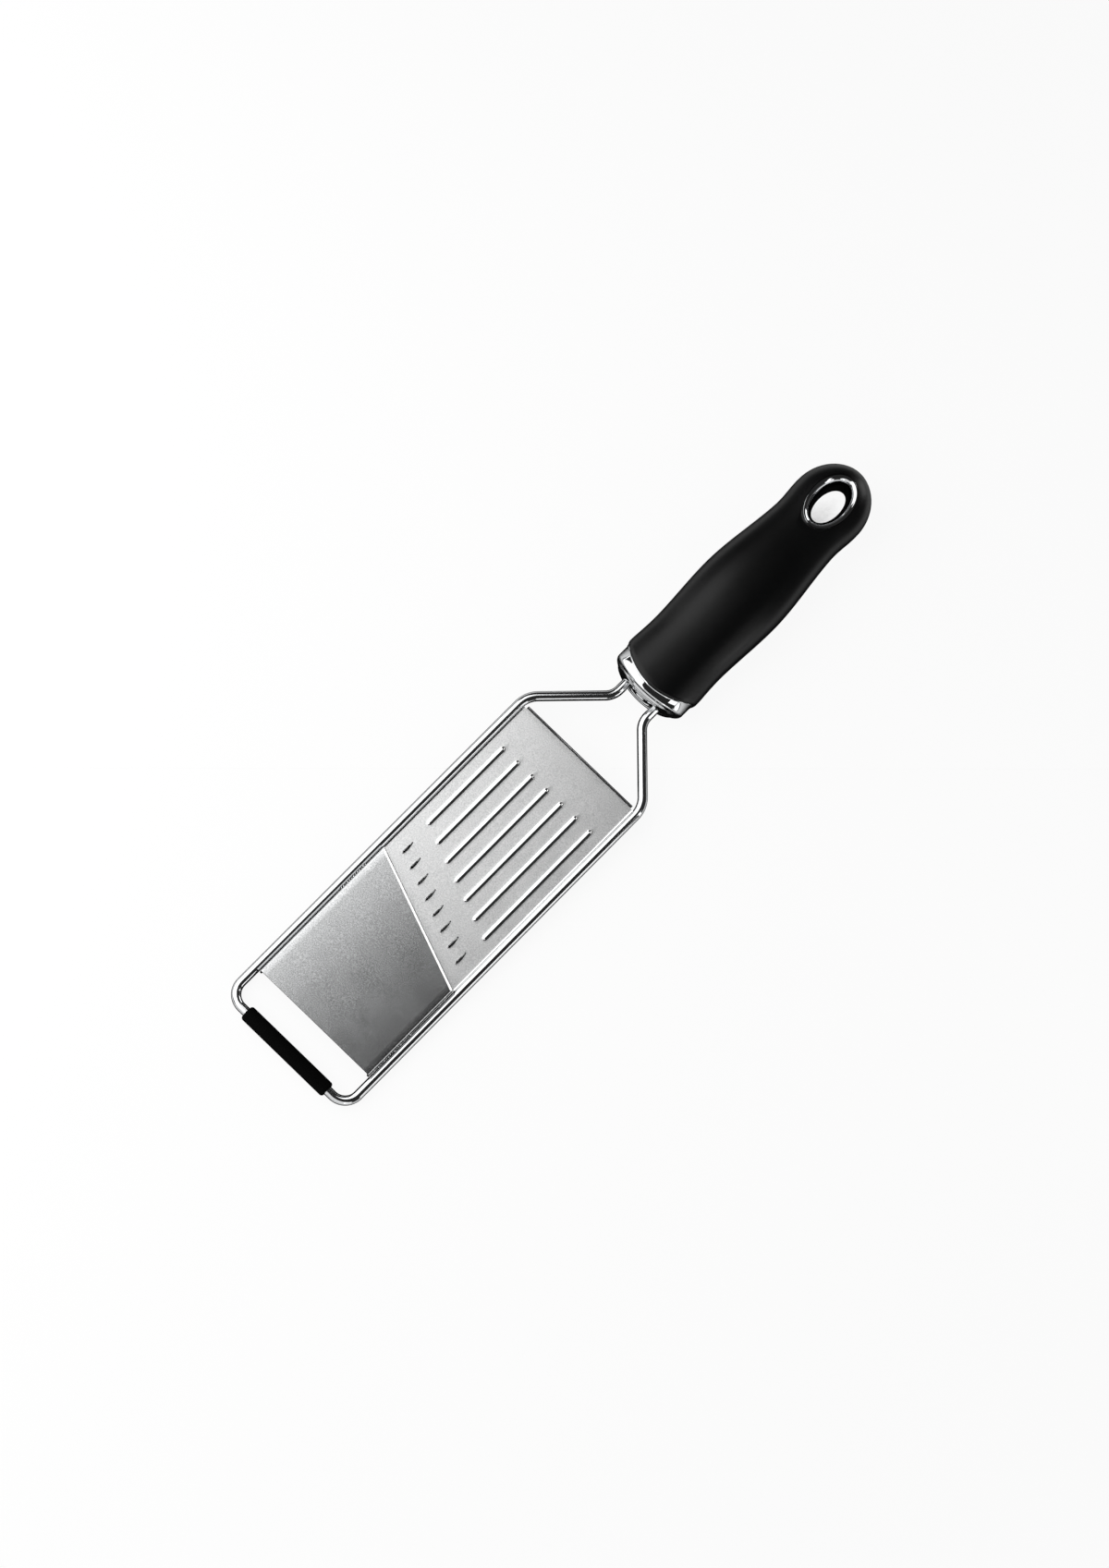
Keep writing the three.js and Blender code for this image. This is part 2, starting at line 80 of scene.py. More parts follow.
bar = Vector((0, middle("front_foot").y, FOOT_DROP * MM))
to_eyelet = middle("eyelet_upper", "eyelet_lower") - bar
tilt = atan2(to_eyelet.z, to_eyelet.y) - atan2(HANDLE_RISE, EYELET_AT)
LEVEL = Matrix.Translation(bar) @ Matrix.Scale(MM, 4)
LAID = Matrix.Translation(bar) @ Matrix.Rotation(tilt, 4, "X") @ Matrix.Scale(MM, 4)
print("tilt", round(degrees(tilt), 3), "degrees, bar at", [round(v, 5) for v in bar])

# %% [markdown]
# Colours are written as the hex values that a colour picker shows. Blender's sockets want linear light,
# so one function turns the one into the other. A second function adds a node, sets it and links it, and
# a third starts a material with one shader. With these, each material is short enough to read as a recipe.
# A mix node keeps its sockets for numbers and for colours in one row, so they are told apart by their
# place in that row.

# %% Helpers for materials
FIRST_NUMBER = 2
SECOND_NUMBER = 3
MIXED_NUMBER = 0
FIRST_COLOUR = 6
SECOND_COLOUR = 7
MIXED_COLOUR = 2


def linear(code):
    """An sRGB hex colour as linear light."""
    parts = [int(code[i:i + 2], 16) / 255 for i in (1, 3, 5)]
    light = [v / 12.92 if v <= 0.04045 else ((v + 0.055) / 1.055) ** 2.4 for v in parts]
    return (*light, 1.0)


def add(tree, kind, inputs=None, **settings):
    """A node with its settings, and its inputs set or linked."""
    made = tree.nodes.new(kind)
    for name, value in settings.items():
        setattr(made, name, value)
    for socket, value in (inputs or {}).items():
        if isinstance(value, bpy.types.NodeSocket):
            tree.links.new(value, made.inputs[socket])
        else:
            made.inputs[socket].default_value = value
    return made


def empty_tree(owner):
    """Gives a material or a world an empty node tree."""
    owner.use_nodes = True
    owner.node_tree.nodes.clear()
    return owner.node_tree


def finish(name, **shader):
    """A new material with one Principled shader. Returns the material, its tree and the shader."""
    material = bpy.data.materials.new(name)
    tree = empty_tree(material)
    inputs = {socket.replace("_", " "): value for socket, value in shader.items()}
    principled = add(tree, "ShaderNodeBsdfPrincipled", inputs)
    add(tree, "ShaderNodeOutputMaterial", {"Surface": principled.outputs["BSDF"]})
    return material, tree, principled


def per_metre(size):
    """The scale of a noise whose marks are about this many millimetres across."""
    return 1 / (size * MM)


print("middle grey in linear light:", round(linear("#808080")[0], 3))

# %% [markdown]
# The wire is drawn stainless steel, polished after bending. Drawing leaves fine lines along the wire, and
# polishing leaves a bright surface with a slight waviness. The lines themselves are a few hundredths of a
# millimetre wide, too fine for the picture, so they are drawn about half a millimetre wide. An image of
# scratches could do it too, but a noise that is stretched along the wire needs no unwrapping.

# %% Polished drawn steel for the wire
LINE_WIDTH = 0.5
LINE_STRETCH = (1, 0.06, 1)

polished_steel, tree, shader = finish(
    "polished_drawn_steel",
    Base_Color=linear("#cfd0d1"),
    Metallic=1.0,
    Roughness=0.1,
)
place = add(tree, "ShaderNodeTexCoord").outputs["Object"]
along = add(tree, "ShaderNodeMapping", {"Vector": place, "Scale": LINE_STRETCH}).outputs["Vector"]
lines = add(tree, "ShaderNodeTexNoise", {
    "Vector": along, "Scale": per_metre(LINE_WIDTH), "Detail": 3.0,
}).outputs["Fac"]
wear = add(tree, "ShaderNodeMapRange", {"Value": lines, "To Min": 0.05, "To Max": 0.16})
tree.links.new(wear.outputs["Result"], shader.inputs["Roughness"])
relief = add(tree, "ShaderNodeBump", {"Height": lines, "Strength": 0.08, "Distance": 0.02 * MM})
tree.links.new(relief.outputs["Normal"], shader.inputs["Normal"])
print("made", polished_steel.name)

# %% [markdown]
# Sheet steel looks even, but not quite: it has a fine grain from its finish and a slow cloudiness from the
# rolls. Both plates share that recipe and differ in its colours. The real grain is finer than the picture
# can show, so it is drawn about half a millimetre across.

# %% The tone that both steel sheets share
GRAIN = 0.45
FLECK_LOW = 0.3
FLECK_HIGH = 0.7
CLOUD_SHARE = 0.3


def steel_tone(tree, cloud, dark, pale):
    """The colour of sheet steel: a fine fleck with a slow cloud over it."""
    place = add(tree, "ShaderNodeTexCoord").outputs["Object"]
    grain = add(tree, "ShaderNodeTexNoise", {
        "Vector": place, "Scale": per_metre(GRAIN), "Detail": 1.0,
    }).outputs["Fac"]
    fleck = add(tree, "ShaderNodeMapRange", {
        "Value": grain, "From Min": FLECK_LOW, "From Max": FLECK_HIGH,
    }).outputs["Result"]
    both = add(tree, "ShaderNodeMix", {
        "Factor": CLOUD_SHARE, FIRST_NUMBER: fleck, SECOND_NUMBER: cloud,
    }, data_type="FLOAT").outputs[MIXED_NUMBER]
    return add(tree, "ShaderNodeMix", {
        "Factor": both, FIRST_COLOUR: linear(dark), SECOND_COLOUR: linear(pale),
    }, data_type="RGBA").outputs[MIXED_COLOUR]


print("steel grain", GRAIN, "mm")

# %% [markdown]
# The runway is satin stainless sheet. Its surface was tumbled to a fine even grain, so it scatters light
# and stays pale over a wide angle. A cloud about 9 mm across varies its gloss. The dies that raised the
# ribs, teeth and bends rubbed every slope smooth. A smooth slope shows the light box and the dark room
# beside each other, as a white and a black line. A second material on the slopes would leave a hard
# border, so the surface's own normal tells the slopes from the flat sheet.

# %% Satin steel for the runway
RUNWAY_CLOUD = 9
SLOPE_STARTS = 0.999
SLOPE_IS_SMOOTH = 0.975
SLOPE_ROUGHNESS = 0.09

satin_steel, tree, shader = finish(
    "satin_tumbled_steel",
    Base_Color=linear("#e9eaea"),
    Metallic=1.0,
    Roughness=0.5,
)
spots = add(tree, "ShaderNodeTexCoord").outputs
cloud = add(tree, "ShaderNodeTexNoise", {
    "Vector": spots["Object"], "Scale": per_metre(RUNWAY_CLOUD), "Detail": 3.0,
}).outputs["Fac"]
dull = add(tree, "ShaderNodeMapRange", {"Value": cloud, "To Min": 0.36, "To Max": 0.46})
upward = add(tree, "ShaderNodeSeparateXYZ", {"Vector": spots["Normal"]}).outputs["Z"]
flat = add(tree, "ShaderNodeMapRange", {
    "Value": upward, "From Min": SLOPE_IS_SMOOTH, "From Max": SLOPE_STARTS,
})
rough = add(tree, "ShaderNodeMix", {
    "Factor": flat.outputs["Result"],
    FIRST_NUMBER: SLOPE_ROUGHNESS,
    SECOND_NUMBER: dull.outputs["Result"],
}, data_type="FLOAT")
tree.links.new(rough.outputs[MIXED_NUMBER], shader.inputs["Roughness"])
tree.links.new(steel_tone(tree, cloud, "#cfd0d0", "#ffffff"), shader.inputs["Base Color"])
print("made", satin_steel.name)

# %% [markdown]
# The blade plate is cold-rolled hard sheet, greyer and smoother than the runway, with a fine tooth from
# the rolls. Its cloud is slower, about 12 mm across, because nothing was pressed into it.

# %% Cold-rolled steel for the blade plate
BLADE_CLOUD = 12

rolled_steel, tree, shader = finish(
    "cold_rolled_blade_steel",
    Base_Color=linear("#b4b5b6"),
    Metallic=1.0,
    Roughness=0.24,
)
place = add(tree, "ShaderNodeTexCoord").outputs["Object"]
cloud = add(tree, "ShaderNodeTexNoise", {
    "Vector": place, "Scale": per_metre(BLADE_CLOUD), "Detail": 2.0,
}).outputs["Fac"]
rough = add(tree, "ShaderNodeMapRange", {"Value": cloud, "To Min": 0.21, "To Max": 0.25})
tree.links.new(rough.outputs["Result"], shader.inputs["Roughness"])
tree.links.new(steel_tone(tree, cloud, "#9c9d9d", "#d4d5d6"), shader.inputs["Base Color"])
print("made", rolled_steel.name)

# %% [markdown]
# The edge of the blade was ground after hardening, so it has its own bright finish with fine scratches.
# They are too fine to show one by one, so a noise half a millimetre across stands for them and only
# varies the gloss.

# %% Ground steel for the cutting edge
SCRATCH = 0.5

ground_steel, tree, shader = finish(
    "ground_edge_steel",
    Base_Color=linear("#f2f2f2"),
    Metallic=1.0,
    Roughness=0.35,
)
place = add(tree, "ShaderNodeTexCoord").outputs["Object"]
scratch = add(tree, "ShaderNodeTexNoise", {
    "Vector": place, "Scale": per_metre(SCRATCH), "Detail": 2.0,
}).outputs["Fac"]
rough = add(tree, "ShaderNodeMapRange", {"Value": scratch, "To Min": 0.28, "To Max": 0.42})
tree.links.new(rough.outputs["Result"], shader.inputs["Roughness"])
print("made", ground_steel.name)

# %% [markdown]
# Ferrule and eyelet are plated to a mirror. A mirror still needs some life: plating follows the polished
# metal under it, which is never perfectly flat. The mesh could be made uneven, but a very shallow bump of
# about 6 mm bends the reflections in the same way and leaves the outline clean.

# %% Mirror plating for the ferrule and the eyelet
PLATING_WAVE = 6

mirror_plate, tree, shader = finish(
    "mirror_chrome_plating",
    Base_Color=linear("#c6c7c8"),
    Metallic=1.0,
    Roughness=0.04,
)
place = add(tree, "ShaderNodeTexCoord").outputs["Object"]
wave = add(tree, "ShaderNodeTexNoise", {
    "Vector": place, "Scale": per_metre(PLATING_WAVE), "Detail": 1.0,
}).outputs["Fac"]
relief = add(tree, "ShaderNodeBump", {"Height": wave, "Strength": 0.25, "Distance": 0.05 * MM})
tree.links.new(relief.outputs["Normal"], shader.inputs["Normal"])
print("made", mirror_plate.name)

# %% [markdown]
# The grip is a soft elastomer moulded over the core. The mould was finely etched, which gives a dry, even
# matte with a broad weak highlight. The etching is too fine to show, so it is drawn half a millimetre
# across, as a slight change of colour and height. Handling polishes the grip slightly in patches.

# %% Soft moulding for the grip
ETCHING = 0.5
POLISHED_PATCH = 14

soft_moulding, tree, shader = finish(
    "etched_soft_touch_elastomer",
    Base_Color=linear("#050506"),
    Roughness=0.32,
    IOR=1.36,
)
place = add(tree, "ShaderNodeTexCoord").outputs["Object"]
etch = add(tree, "ShaderNodeTexNoise", {
    "Vector": place, "Scale": per_metre(ETCHING), "Detail": 3.0,
}).outputs["Fac"]
patch = add(tree, "ShaderNodeTexNoise", {
    "Vector": place, "Scale": per_metre(POLISHED_PATCH), "Detail": 2.0,
}).outputs["Fac"]
rough = add(tree, "ShaderNodeMapRange", {"Value": patch, "To Min": 0.28, "To Max": 0.36})
tree.links.new(rough.outputs["Result"], shader.inputs["Roughness"])
tone = add(tree, "ShaderNodeMix", {
    "Factor": etch, FIRST_COLOUR: linear("#020202"), SECOND_COLOUR: linear("#0b0b0c"),
}, data_type="RGBA")
tree.links.new(tone.outputs[MIXED_COLOUR], shader.inputs["Base Color"])
relief = add(tree, "ShaderNodeBump", {"Height": etch, "Strength": 0.5, "Distance": 0.05 * MM})
tree.links.new(relief.outputs["Normal"], shader.inputs["Normal"])
print("made", soft_moulding.name)

# %% [markdown]
# The foot is plain moulded rubber, darker and duller than the grip. The core inside the grip is moulded
# dark plastic. Both only need a gloss that varies a little: the foot by the dust that rubber holds, the
# core by the faint marks of the plastic's flow. One loop makes them, because only the values differ.

# %% Rubber for the foot and plastic for the core
# Each has its name, colour, roughness, IOR, the size of its marks and the span of its gloss.
MOULDINGS = [
    ("moulded_black_rubber", "#020202", 0.7, 1.12, 0.8, (0.6, 0.85)),
    ("moulded_dark_plastic", "#3a3b3d", 0.5, 1.5, 4, (0.45, 0.6)),
]

moulded = []
for name, colour, roughness, ior, size, (low, high) in MOULDINGS:
    material, tree, shader = finish(name, Base_Color=linear(colour), Roughness=roughness, IOR=ior)
    place = add(tree, "ShaderNodeTexCoord").outputs["Object"]
    faint = add(tree, "ShaderNodeTexNoise", {
        "Vector": place, "Scale": per_metre(size), "Detail": 2.0,
    }).outputs["Fac"]
    rough = add(tree, "ShaderNodeMapRange", {"Value": faint, "To Min": low, "To Max": high})
    tree.links.new(rough.outputs["Result"], shader.inputs["Roughness"])
    moulded.append(material)
    print("made", name)
foot_rubber, core_plastic = moulded

# %% [markdown]
# Blender's mesh operators hand back vertices, edges and faces in one list, so small functions pick out
# what the next step needs. Every piece ends in the same way. Its doubles are merged, its faces are turned
# outwards, it is laid down by the matrix above, and it becomes an object that rides on the part and stands
# for a CAD node.

# %% Helpers for meshes and pieces
TOUCHING = 0.001
DOUBLES = 0.002


def edges_in(geometry):
    """The edges among the things that an operator hands back."""
    return [thing for thing in geometry if isinstance(thing, bmesh.types.BMEdge)]


def verts_in(geometry):
    """The vertices among the things that an operator hands back."""
    return [thing for thing in geometry if isinstance(thing, bmesh.types.BMVert)]


def whole(mesh):
    """All that a mesh is made of."""
    return mesh.verts[:] + mesh.edges[:] + mesh.faces[:]


def shear(mesh, point, outward):
    """Cuts off all that lies beyond a plane and returns the edges of the cut."""
    cut = bmesh.ops.bisect_plane(
        mesh,
        geom=whole(mesh),
        plane_co=point,
        plane_no=outward,
        clear_outer=True,
    )
    return edges_in(cut["geom_cut"])


def as_object(mesh, name, placing):
    """Moves a mesh to its place and makes an object of it."""
    bmesh.ops.transform(mesh, matrix=placing, verts=mesh.verts)
    data = bpy.data.meshes.new(name)
    mesh.to_mesh(data)
    mesh.free()
    made = bpy.data.objects.new(name, data)
    bpy.context.scene.collection.objects.link(made)
    return made


def make_piece(mesh, name, materials, node=None, placing=LAID, crease=35):
    """Turns a mesh drawn in the tool's own millimetres into a finished piece of the part."""
    bmesh.ops.remove_doubles(mesh, verts=mesh.verts, dist=DOUBLES)
    bmesh.ops.recalc_face_normals(mesh, faces=mesh.faces)
    made = as_object(mesh, name, placing)
    made.data.shade_smooth()
    made.data.set_sharp_from_angle(angle=radians(crease))
    for material in materials:
        made.data.materials.append(material)
    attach(made, "root")
    if node:
        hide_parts(node)
    print(name, len(made.data.polygons), "faces")
    return made


print("points within", DOUBLES, "mm are merged")

# %% [markdown]
# The frame is one length of wire, bent as a wire bender bends it: a straight feed, a turn about a pin,
# another feed. Two operators do the same here. Extruding a ring feeds the wire, and spinning the ring
# about a point bends it. Only the right half is bent. The left half is its mirror image.

# %% The wire frame
WIRE_RADIUS = 2.0
WIRE_SIDES = 24
RAIL_HALF = 31.5
TANG_HALF = 7.6
SHOULDER_AT = 166.0
NECK_ANGLE = radians(44.5)
NECK_AT = SHOULDER_AT + (RAIL_HALF - TANG_HALF) / tan(NECK_ANGLE)
TANG_HIDDEN = 52.0
HOOK_AT = FACE_AT + TANG_HIDDEN
HOOK_REACH = 5.5
HOOK_BEND = 3.2
# Each turn has the corner of the bent path, the radius of the pin, the angle and the number of steps.
TURNS = [
    (Vector((RAIL_HALF, 0, 0)), 7.0, pi / 2, 16),
    (Vector((RAIL_HALF, SHOULDER_AT, 0)), 11.0, NECK_ANGLE, 12),
    (Vector((TANG_HALF, NECK_AT, 0)), 8.0, -NECK_ANGLE, 12),
    (Vector((TANG_HALF, HOOK_AT, 0)), HOOK_BEND, -pi / 2, 10),
]


def feed(mesh, edges, direction, length):
    """Pushes a ring of edges straight on and returns the new ring."""
    moved = bmesh.ops.extrude_edge_only(mesh, edges=edges)["geom"]
    bmesh.ops.translate(mesh, verts=verts_in(moved), vec=direction * length)
    return edges_in(moved)


def bend(mesh, edges, centre, angle, steps):
    """Turns a ring of edges about a pin and returns the new ring."""
    swept = bmesh.ops.spin(mesh, geom=edges, cent=centre, axis=(0, 0, 1), angle=angle, steps=steps)
    return edges_in(swept["geom_last"])


def bent_wire():
    """The wire from the middle of the front bar to the end of its right hook."""
    mesh = bmesh.new()
    upright = Matrix.Rotation(pi / 2, 4, "Y")
    bmesh.ops.create_circle(mesh, segments=WIRE_SIDES, radius=WIRE_RADIUS, matrix=upright)
    ring = list(mesh.edges)
    spot = Vector((0, 0, 0))
    along = Vector((1, 0, 0))
    heading = 0.0
    for corner, radius, turn, steps in TURNS:
        run_out = radius * tan(abs(turn) / 2)
        start = corner - along * run_out
        ring = feed(mesh, ring, along, (start - spot).length)
        side = 1 if turn > 0 else -1
        centre = start + Vector((-along.y, along.x, 0)) * radius * side
        ring = bend(mesh, ring, centre, turn, steps)
        heading += turn
        along = Vector((cos(heading), sin(heading), 0))
        spot = corner + along * run_out
    ring = feed(mesh, ring, along, HOOK_REACH - HOOK_BEND)
    bmesh.ops.edgeloop_fill(mesh, edges=ring)
    return mesh


wire = bent_wire()
bmesh.ops.mirror(wire, geom=whole(wire), axis="X", merge_dist=TOUCHING)
make_piece(wire, "bent_wire_frame", [polished_steel], "wire_frame")

# %% [markdown]
# Both plates are sheet steel with bent sides. The runway's sides turn up and the blade's sides turn down.
# A sheet is drawn as one surface and gets its thickness last, so that the press work on it stays even. A
# press brake turns the edge of a sheet about a bend line, and spinning the edge does just that.

# %% Helpers for sheet metal
EDGE_AT = 72.5
EDGE_ANGLE = radians(20.5)
FOLD_STEPS = 8


def slant_at(lead, x):
    """Where a line along the slant crosses the tool at a distance from its middle."""
    return EDGE_AT + lead - x * tan(EDGE_ANGLE)


def in_a_row(count, pitch):
    """Even places across the tool, as many on the left as on the right."""
    return [(i - (count - 1) / 2) * pitch for i in range(count)]


def edges_where(mesh, test):
    """The boundary edges whose two ends both pass a test."""
    return [e for e in mesh.edges if e.is_boundary and all(test(v.co) for v in e.verts)]


def fold_side(mesh, side, half_flat, level, radius, angle):
    """Bends one side of a flat sheet and returns its edge. A positive angle bends it up."""
    edges = edges_where(mesh, lambda co: abs(co.x - side * half_flat) < TOUCHING)
    swept = bmesh.ops.spin(
        mesh,
        geom=edges,
        cent=(side * half_flat, 0, level + radius * (1 if angle > 0 else -1)),
        axis=(0, 1, 0),
        angle=-side * angle,
        steps=FOLD_STEPS,
    )
    return edges_in(swept["geom_last"])


def flat_sheet(columns, rows, half_width, front, rear, top):
    """A grid of faces that lies level at a height."""
    mesh = bmesh.new()
    placing = Matrix.Translation((0, (front + rear) / 2, top))
    scaling = Matrix.Diagonal((half_width, (rear - front) / 2, 1, 1))
    bmesh.ops.create_grid(mesh, x_segments=columns, y_segments=rows, size=1, matrix=placing @ scaling)
    return mesh


def thicken(mesh, thickness):
    """Gives a sheet its thickness on the underside."""
    bmesh.ops.recalc_face_normals(mesh, faces=mesh.faces)
    highest = max(mesh.faces, key=lambda face: face.calc_center_median().z)
    if highest.normal.z < 0:
        bmesh.ops.reverse_faces(mesh, faces=mesh.faces)
    bmesh.ops.solidify(mesh, geom=mesh.faces[:], thickness=thickness)


print("cutting edge", EDGE_AT, "mm behind the bar, slanting", round(degrees(EDGE_ANGLE), 1), "degrees")

# %% [markdown]
# The runway's ribs were pressed up from below between two dies. A grid stands for the blank. Its lines
# are not even: along the tool they crowd together on each rib, and across it they bend round the two round
# ends of each rib, so that the foot of a rib is always a line of the grid and stays crisp. Each point is
# lifted later by how near it lies to the middle line of its rib. An even grid would need to be many
# times finer for the same crispness.

# %% The lines of the runway's blank
RUNWAY_TOP = 0.4
RUNWAY_SHEET = 0.6
RUNWAY_REAR = 162.4
RUNWAY_HALF = RAIL_HALF - WIRE_RADIUS
FLARE_RADIUS = 1.2
FLARE_ANGLE = radians(32)
FLAT_HALF = RUNWAY_HALF - FLARE_RADIUS * sin(FLARE_ANGLE)
FRONT_LEAD = 0.6
RIB_COUNT = 7
RIB_PITCH = 7.83
RIB_HALF = 1.12
RIB_HEIGHT = 0.46
RIB_LEAD = 20.9
RIB_TO_REAR = 17.0
RIB_REAR = RUNWAY_REAR - RIB_TO_REAR
RIB_PLACES = in_a_row(RIB_COUNT, RIB_PITCH)
RIB_COLUMNS = 16
GAP_COLUMNS = 6
ROW_COUNTS = (14, 6, 18, 6, 6)


def divided(stops, counts):
    """The stops, with even places between each stop and the next."""
    places = stops[:1]
    for start, end, count in zip(stops, stops[1:], counts):
        places += [start + (end - start) * (i + 1) / count for i in range(count)]
    return places


def rib_columns():
    """Where the grid's lines run along the tool: close together on the ribs, wide apart between them."""
    feet = [x + side * RIB_HALF for x in RIB_PLACES for side in (-1, 1)]
    counts = [GAP_COLUMNS] + [RIB_COLUMNS, GAP_COLUMNS] * RIB_COUNT
    return divided([-FLAT_HALF] + feet + [FLAT_HALF], counts)


def rib_under(x):
    """The middle line of the rib that a place across the tool lies on, or nothing between ribs."""
    nearest = min(RIB_PLACES, key=lambda place: abs(place - x))
    return nearest if abs(nearest - x) < RIB_HALF + TOUCHING else None


def rib_ends(line):
    """Where the round front and the round rear of a rib have their middles."""
    return slant_at(RIB_LEAD, line) + RIB_HALF, RIB_REAR - RIB_HALF


def rows_along(x):
    """Where the grid's cross lines pass one of its long lines, from the front edge to the rear edge."""
    rib = rib_under(x)
    front, rear = rib_ends(x if rib is None else rib)
    bulge = RIB_HALF if rib is None else sqrt(max(RIB_HALF ** 2 - (x - rib) ** 2, 0))
    past = RIB_HALF / 4
    stops = [slant_at(FRONT_LEAD, x), front - bulge, front + past, rear - past, rear + bulge, RUNWAY_REAR]
    return divided(stops, ROW_COUNTS)


print("ribs at", [round(x, 2) for x in RIB_PLACES])

# %% [markdown]
# A rib is a smooth low hump with round ends. Its front ends follow the slant of the edge. A cosine of
# the distance from the rib's middle line gives the hump that a rounded die leaves: flat at the foot, flat
# at the crest and steepest between them.

# %% The blank of the runway with its pressed ribs
def rib_lift(point):
    """How far the press lifts a point of the sheet."""
    rib = rib_under(point.x)
    if rib is None:
        return 0.0
    front, rear = rib_ends(rib)
    nearest = Vector((rib, min(max(point.y, front), rear)))
    away = min((point.xy - nearest).length, RIB_HALF)
    return RIB_HEIGHT * (1 + cos(pi * away / RIB_HALF)) / 2


def pressed_blank():
    """The runway's blank, moved to its own lines, with the ribs lifted."""
    columns = rib_columns()
    rows = [rows_along(x) for x in columns]
    last_column = len(columns) - 1
    last_row = sum(ROW_COUNTS)
    # The grid starts two units wide and long, so the place of a point gives its column and row.
    mesh = flat_sheet(last_column, last_row, 1, -1, 1, RUNWAY_TOP)
    for vert in mesh.verts:
        column = round((vert.co.x + 1) / 2 * last_column)
        row = round((vert.co.y + 1) / 2 * last_row)
        vert.co.xy = (columns[column], rows[column][row])
        vert.co.z += rib_lift(vert.co)
    return mesh


runway = pressed_blank()
print("runway blank", len(runway.faces), "faces")

# %% [markdown]
# Each tooth was lanced: a sliver was sheared along one side and turned up on the other. What is left is a
# slim slot, pointed at both ends, with a fin standing along it. The slot is sheared with cutting planes,
# as a punch would do it, and it is widest a little ahead of its middle.

# %% The lanced slots
TOOTH_COUNT = 8
TOOTH_PITCH = 6.42
TOOTH_PLACES = in_a_row(TOOTH_COUNT, TOOTH_PITCH)
TOOTH_LENGTH = 6.4
TOOTH_LEAD = 5.9
SLOT_WIDTH = 0.65
SLOT_CORNERS = 7
SLOT_LEAN = 0.75


def slot_corners(x):
    """The corners of one slot, along its bowed side from front to rear."""
    front = slant_at(TOOTH_LEAD, x)
    corners = []
    for step in range(SLOT_CORNERS):
        t = step / (SLOT_CORNERS - 1)
        share = t ** SLOT_LEAN
        bow = 4 * SLOT_WIDTH * share * (1 - share)
        corners.append(Vector((x + bow, front + TOOTH_LENGTH * t)))
    return corners


def lance(mesh, x):
    """Shears one slim slot out of the sheet."""
    corners = slot_corners(x)
    centre = Vector((x, slant_at(TOOTH_LEAD, x) + TOOTH_LENGTH / 2))
    sides = list(zip(corners, corners[1:] + corners[:1]))

    def near():
        return [f for f in mesh.faces if (f.calc_center_median().xy - centre).length < TOOTH_LENGTH]

    def inside(point):
        return all((b - a).cross(point - a) > 0 for a, b in sides)

    for a, b in sides:
        faces = near()
        parts = set(faces)
        parts.update(e for f in faces for e in f.edges)
        parts.update(v for f in faces for v in f.verts)
        outward = (b - a).orthogonal()
        bmesh.ops.bisect_plane(mesh, geom=list(parts), plane_co=(*a, 0), plane_no=(*outward, 0))
    doomed = [f for f in near() if inside(f.calc_center_median().xy)]
    bmesh.ops.delete(mesh, geom=doomed, context="FACES")


for x in TOOTH_PLACES:
    lance(runway, x)
print("lanced", len(TOOTH_PLACES), "slots")

# %% [markdown]
# The press brake then turns the runway's sides up against the rails and rolls its rear edge down, so that
# food slides on without catching. The roll stops just short of the sides, because a sheet can't be bent
# both ways in one corner. The sheet gets its thickness next, and its sides are sheared upright to fit
# between the rails.

# %% Fold and thicken the runway
REAR_ROLL = radians(70)
REAR_BEND = 1.6
ROLL_STEPS = 6
CORNER_RELIEF = 0.1


def roll_rear(mesh):
    """Rolls the rear edge of the sheet down."""
    inner = FLAT_HALF - CORNER_RELIEF
    edges = edges_where(mesh, lambda co: abs(co.y - RUNWAY_REAR) < TOUCHING and abs(co.x) < inner)
    centre = (0, RUNWAY_REAR, RUNWAY_TOP - REAR_BEND)
    bmesh.ops.spin(mesh, geom=edges, cent=centre, axis=(1, 0, 0), angle=-REAR_ROLL, steps=ROLL_STEPS)


for side in (1, -1):
    fold_side(runway, side, FLAT_HALF, RUNWAY_TOP, FLARE_RADIUS, FLARE_ANGLE)
roll_rear(runway)
thicken(runway, RUNWAY_SHEET)
for side in (1, -1):
    cut = shear(runway, (side * RUNWAY_HALF, 0, 0), (side, 0, 0))
    bmesh.ops.edgeloop_fill(runway, edges=cut)
print("folded runway", len(runway.faces), "faces")

# %% [markdown]
# A fin is the sliver that each slot left standing. It is highest near the cutting edge and slopes away
# gently behind, so that food on its way to the edge is slit as it climbs. It is a strip of grid, moved
# to its outline and pushed out to its thickness. Its far side is a little lower, which leaves a slanting
# top that catches the light.

# %% The fins of the teeth
TOOTH_HEIGHT = 2.2
TOOTH_PEAK = 0.25
TOOTH_FALL = 1.5
FIN_ROOT = RUNWAY_TOP - RUNWAY_SHEET / 2
FIN_SHEET = 0.4
FIN_SLANT = 0.3
FIN_STEPS = 12


def fin_top(t):
    """How high a fin stands at a share of its length."""
    if t < TOOTH_PEAK:
        return TOOTH_HEIGHT * sin(pi / 2 * t / TOOTH_PEAK)
    return TOOTH_HEIGHT * (1 - ((t - TOOTH_PEAK) / (1 - TOOTH_PEAK)) ** TOOTH_FALL)


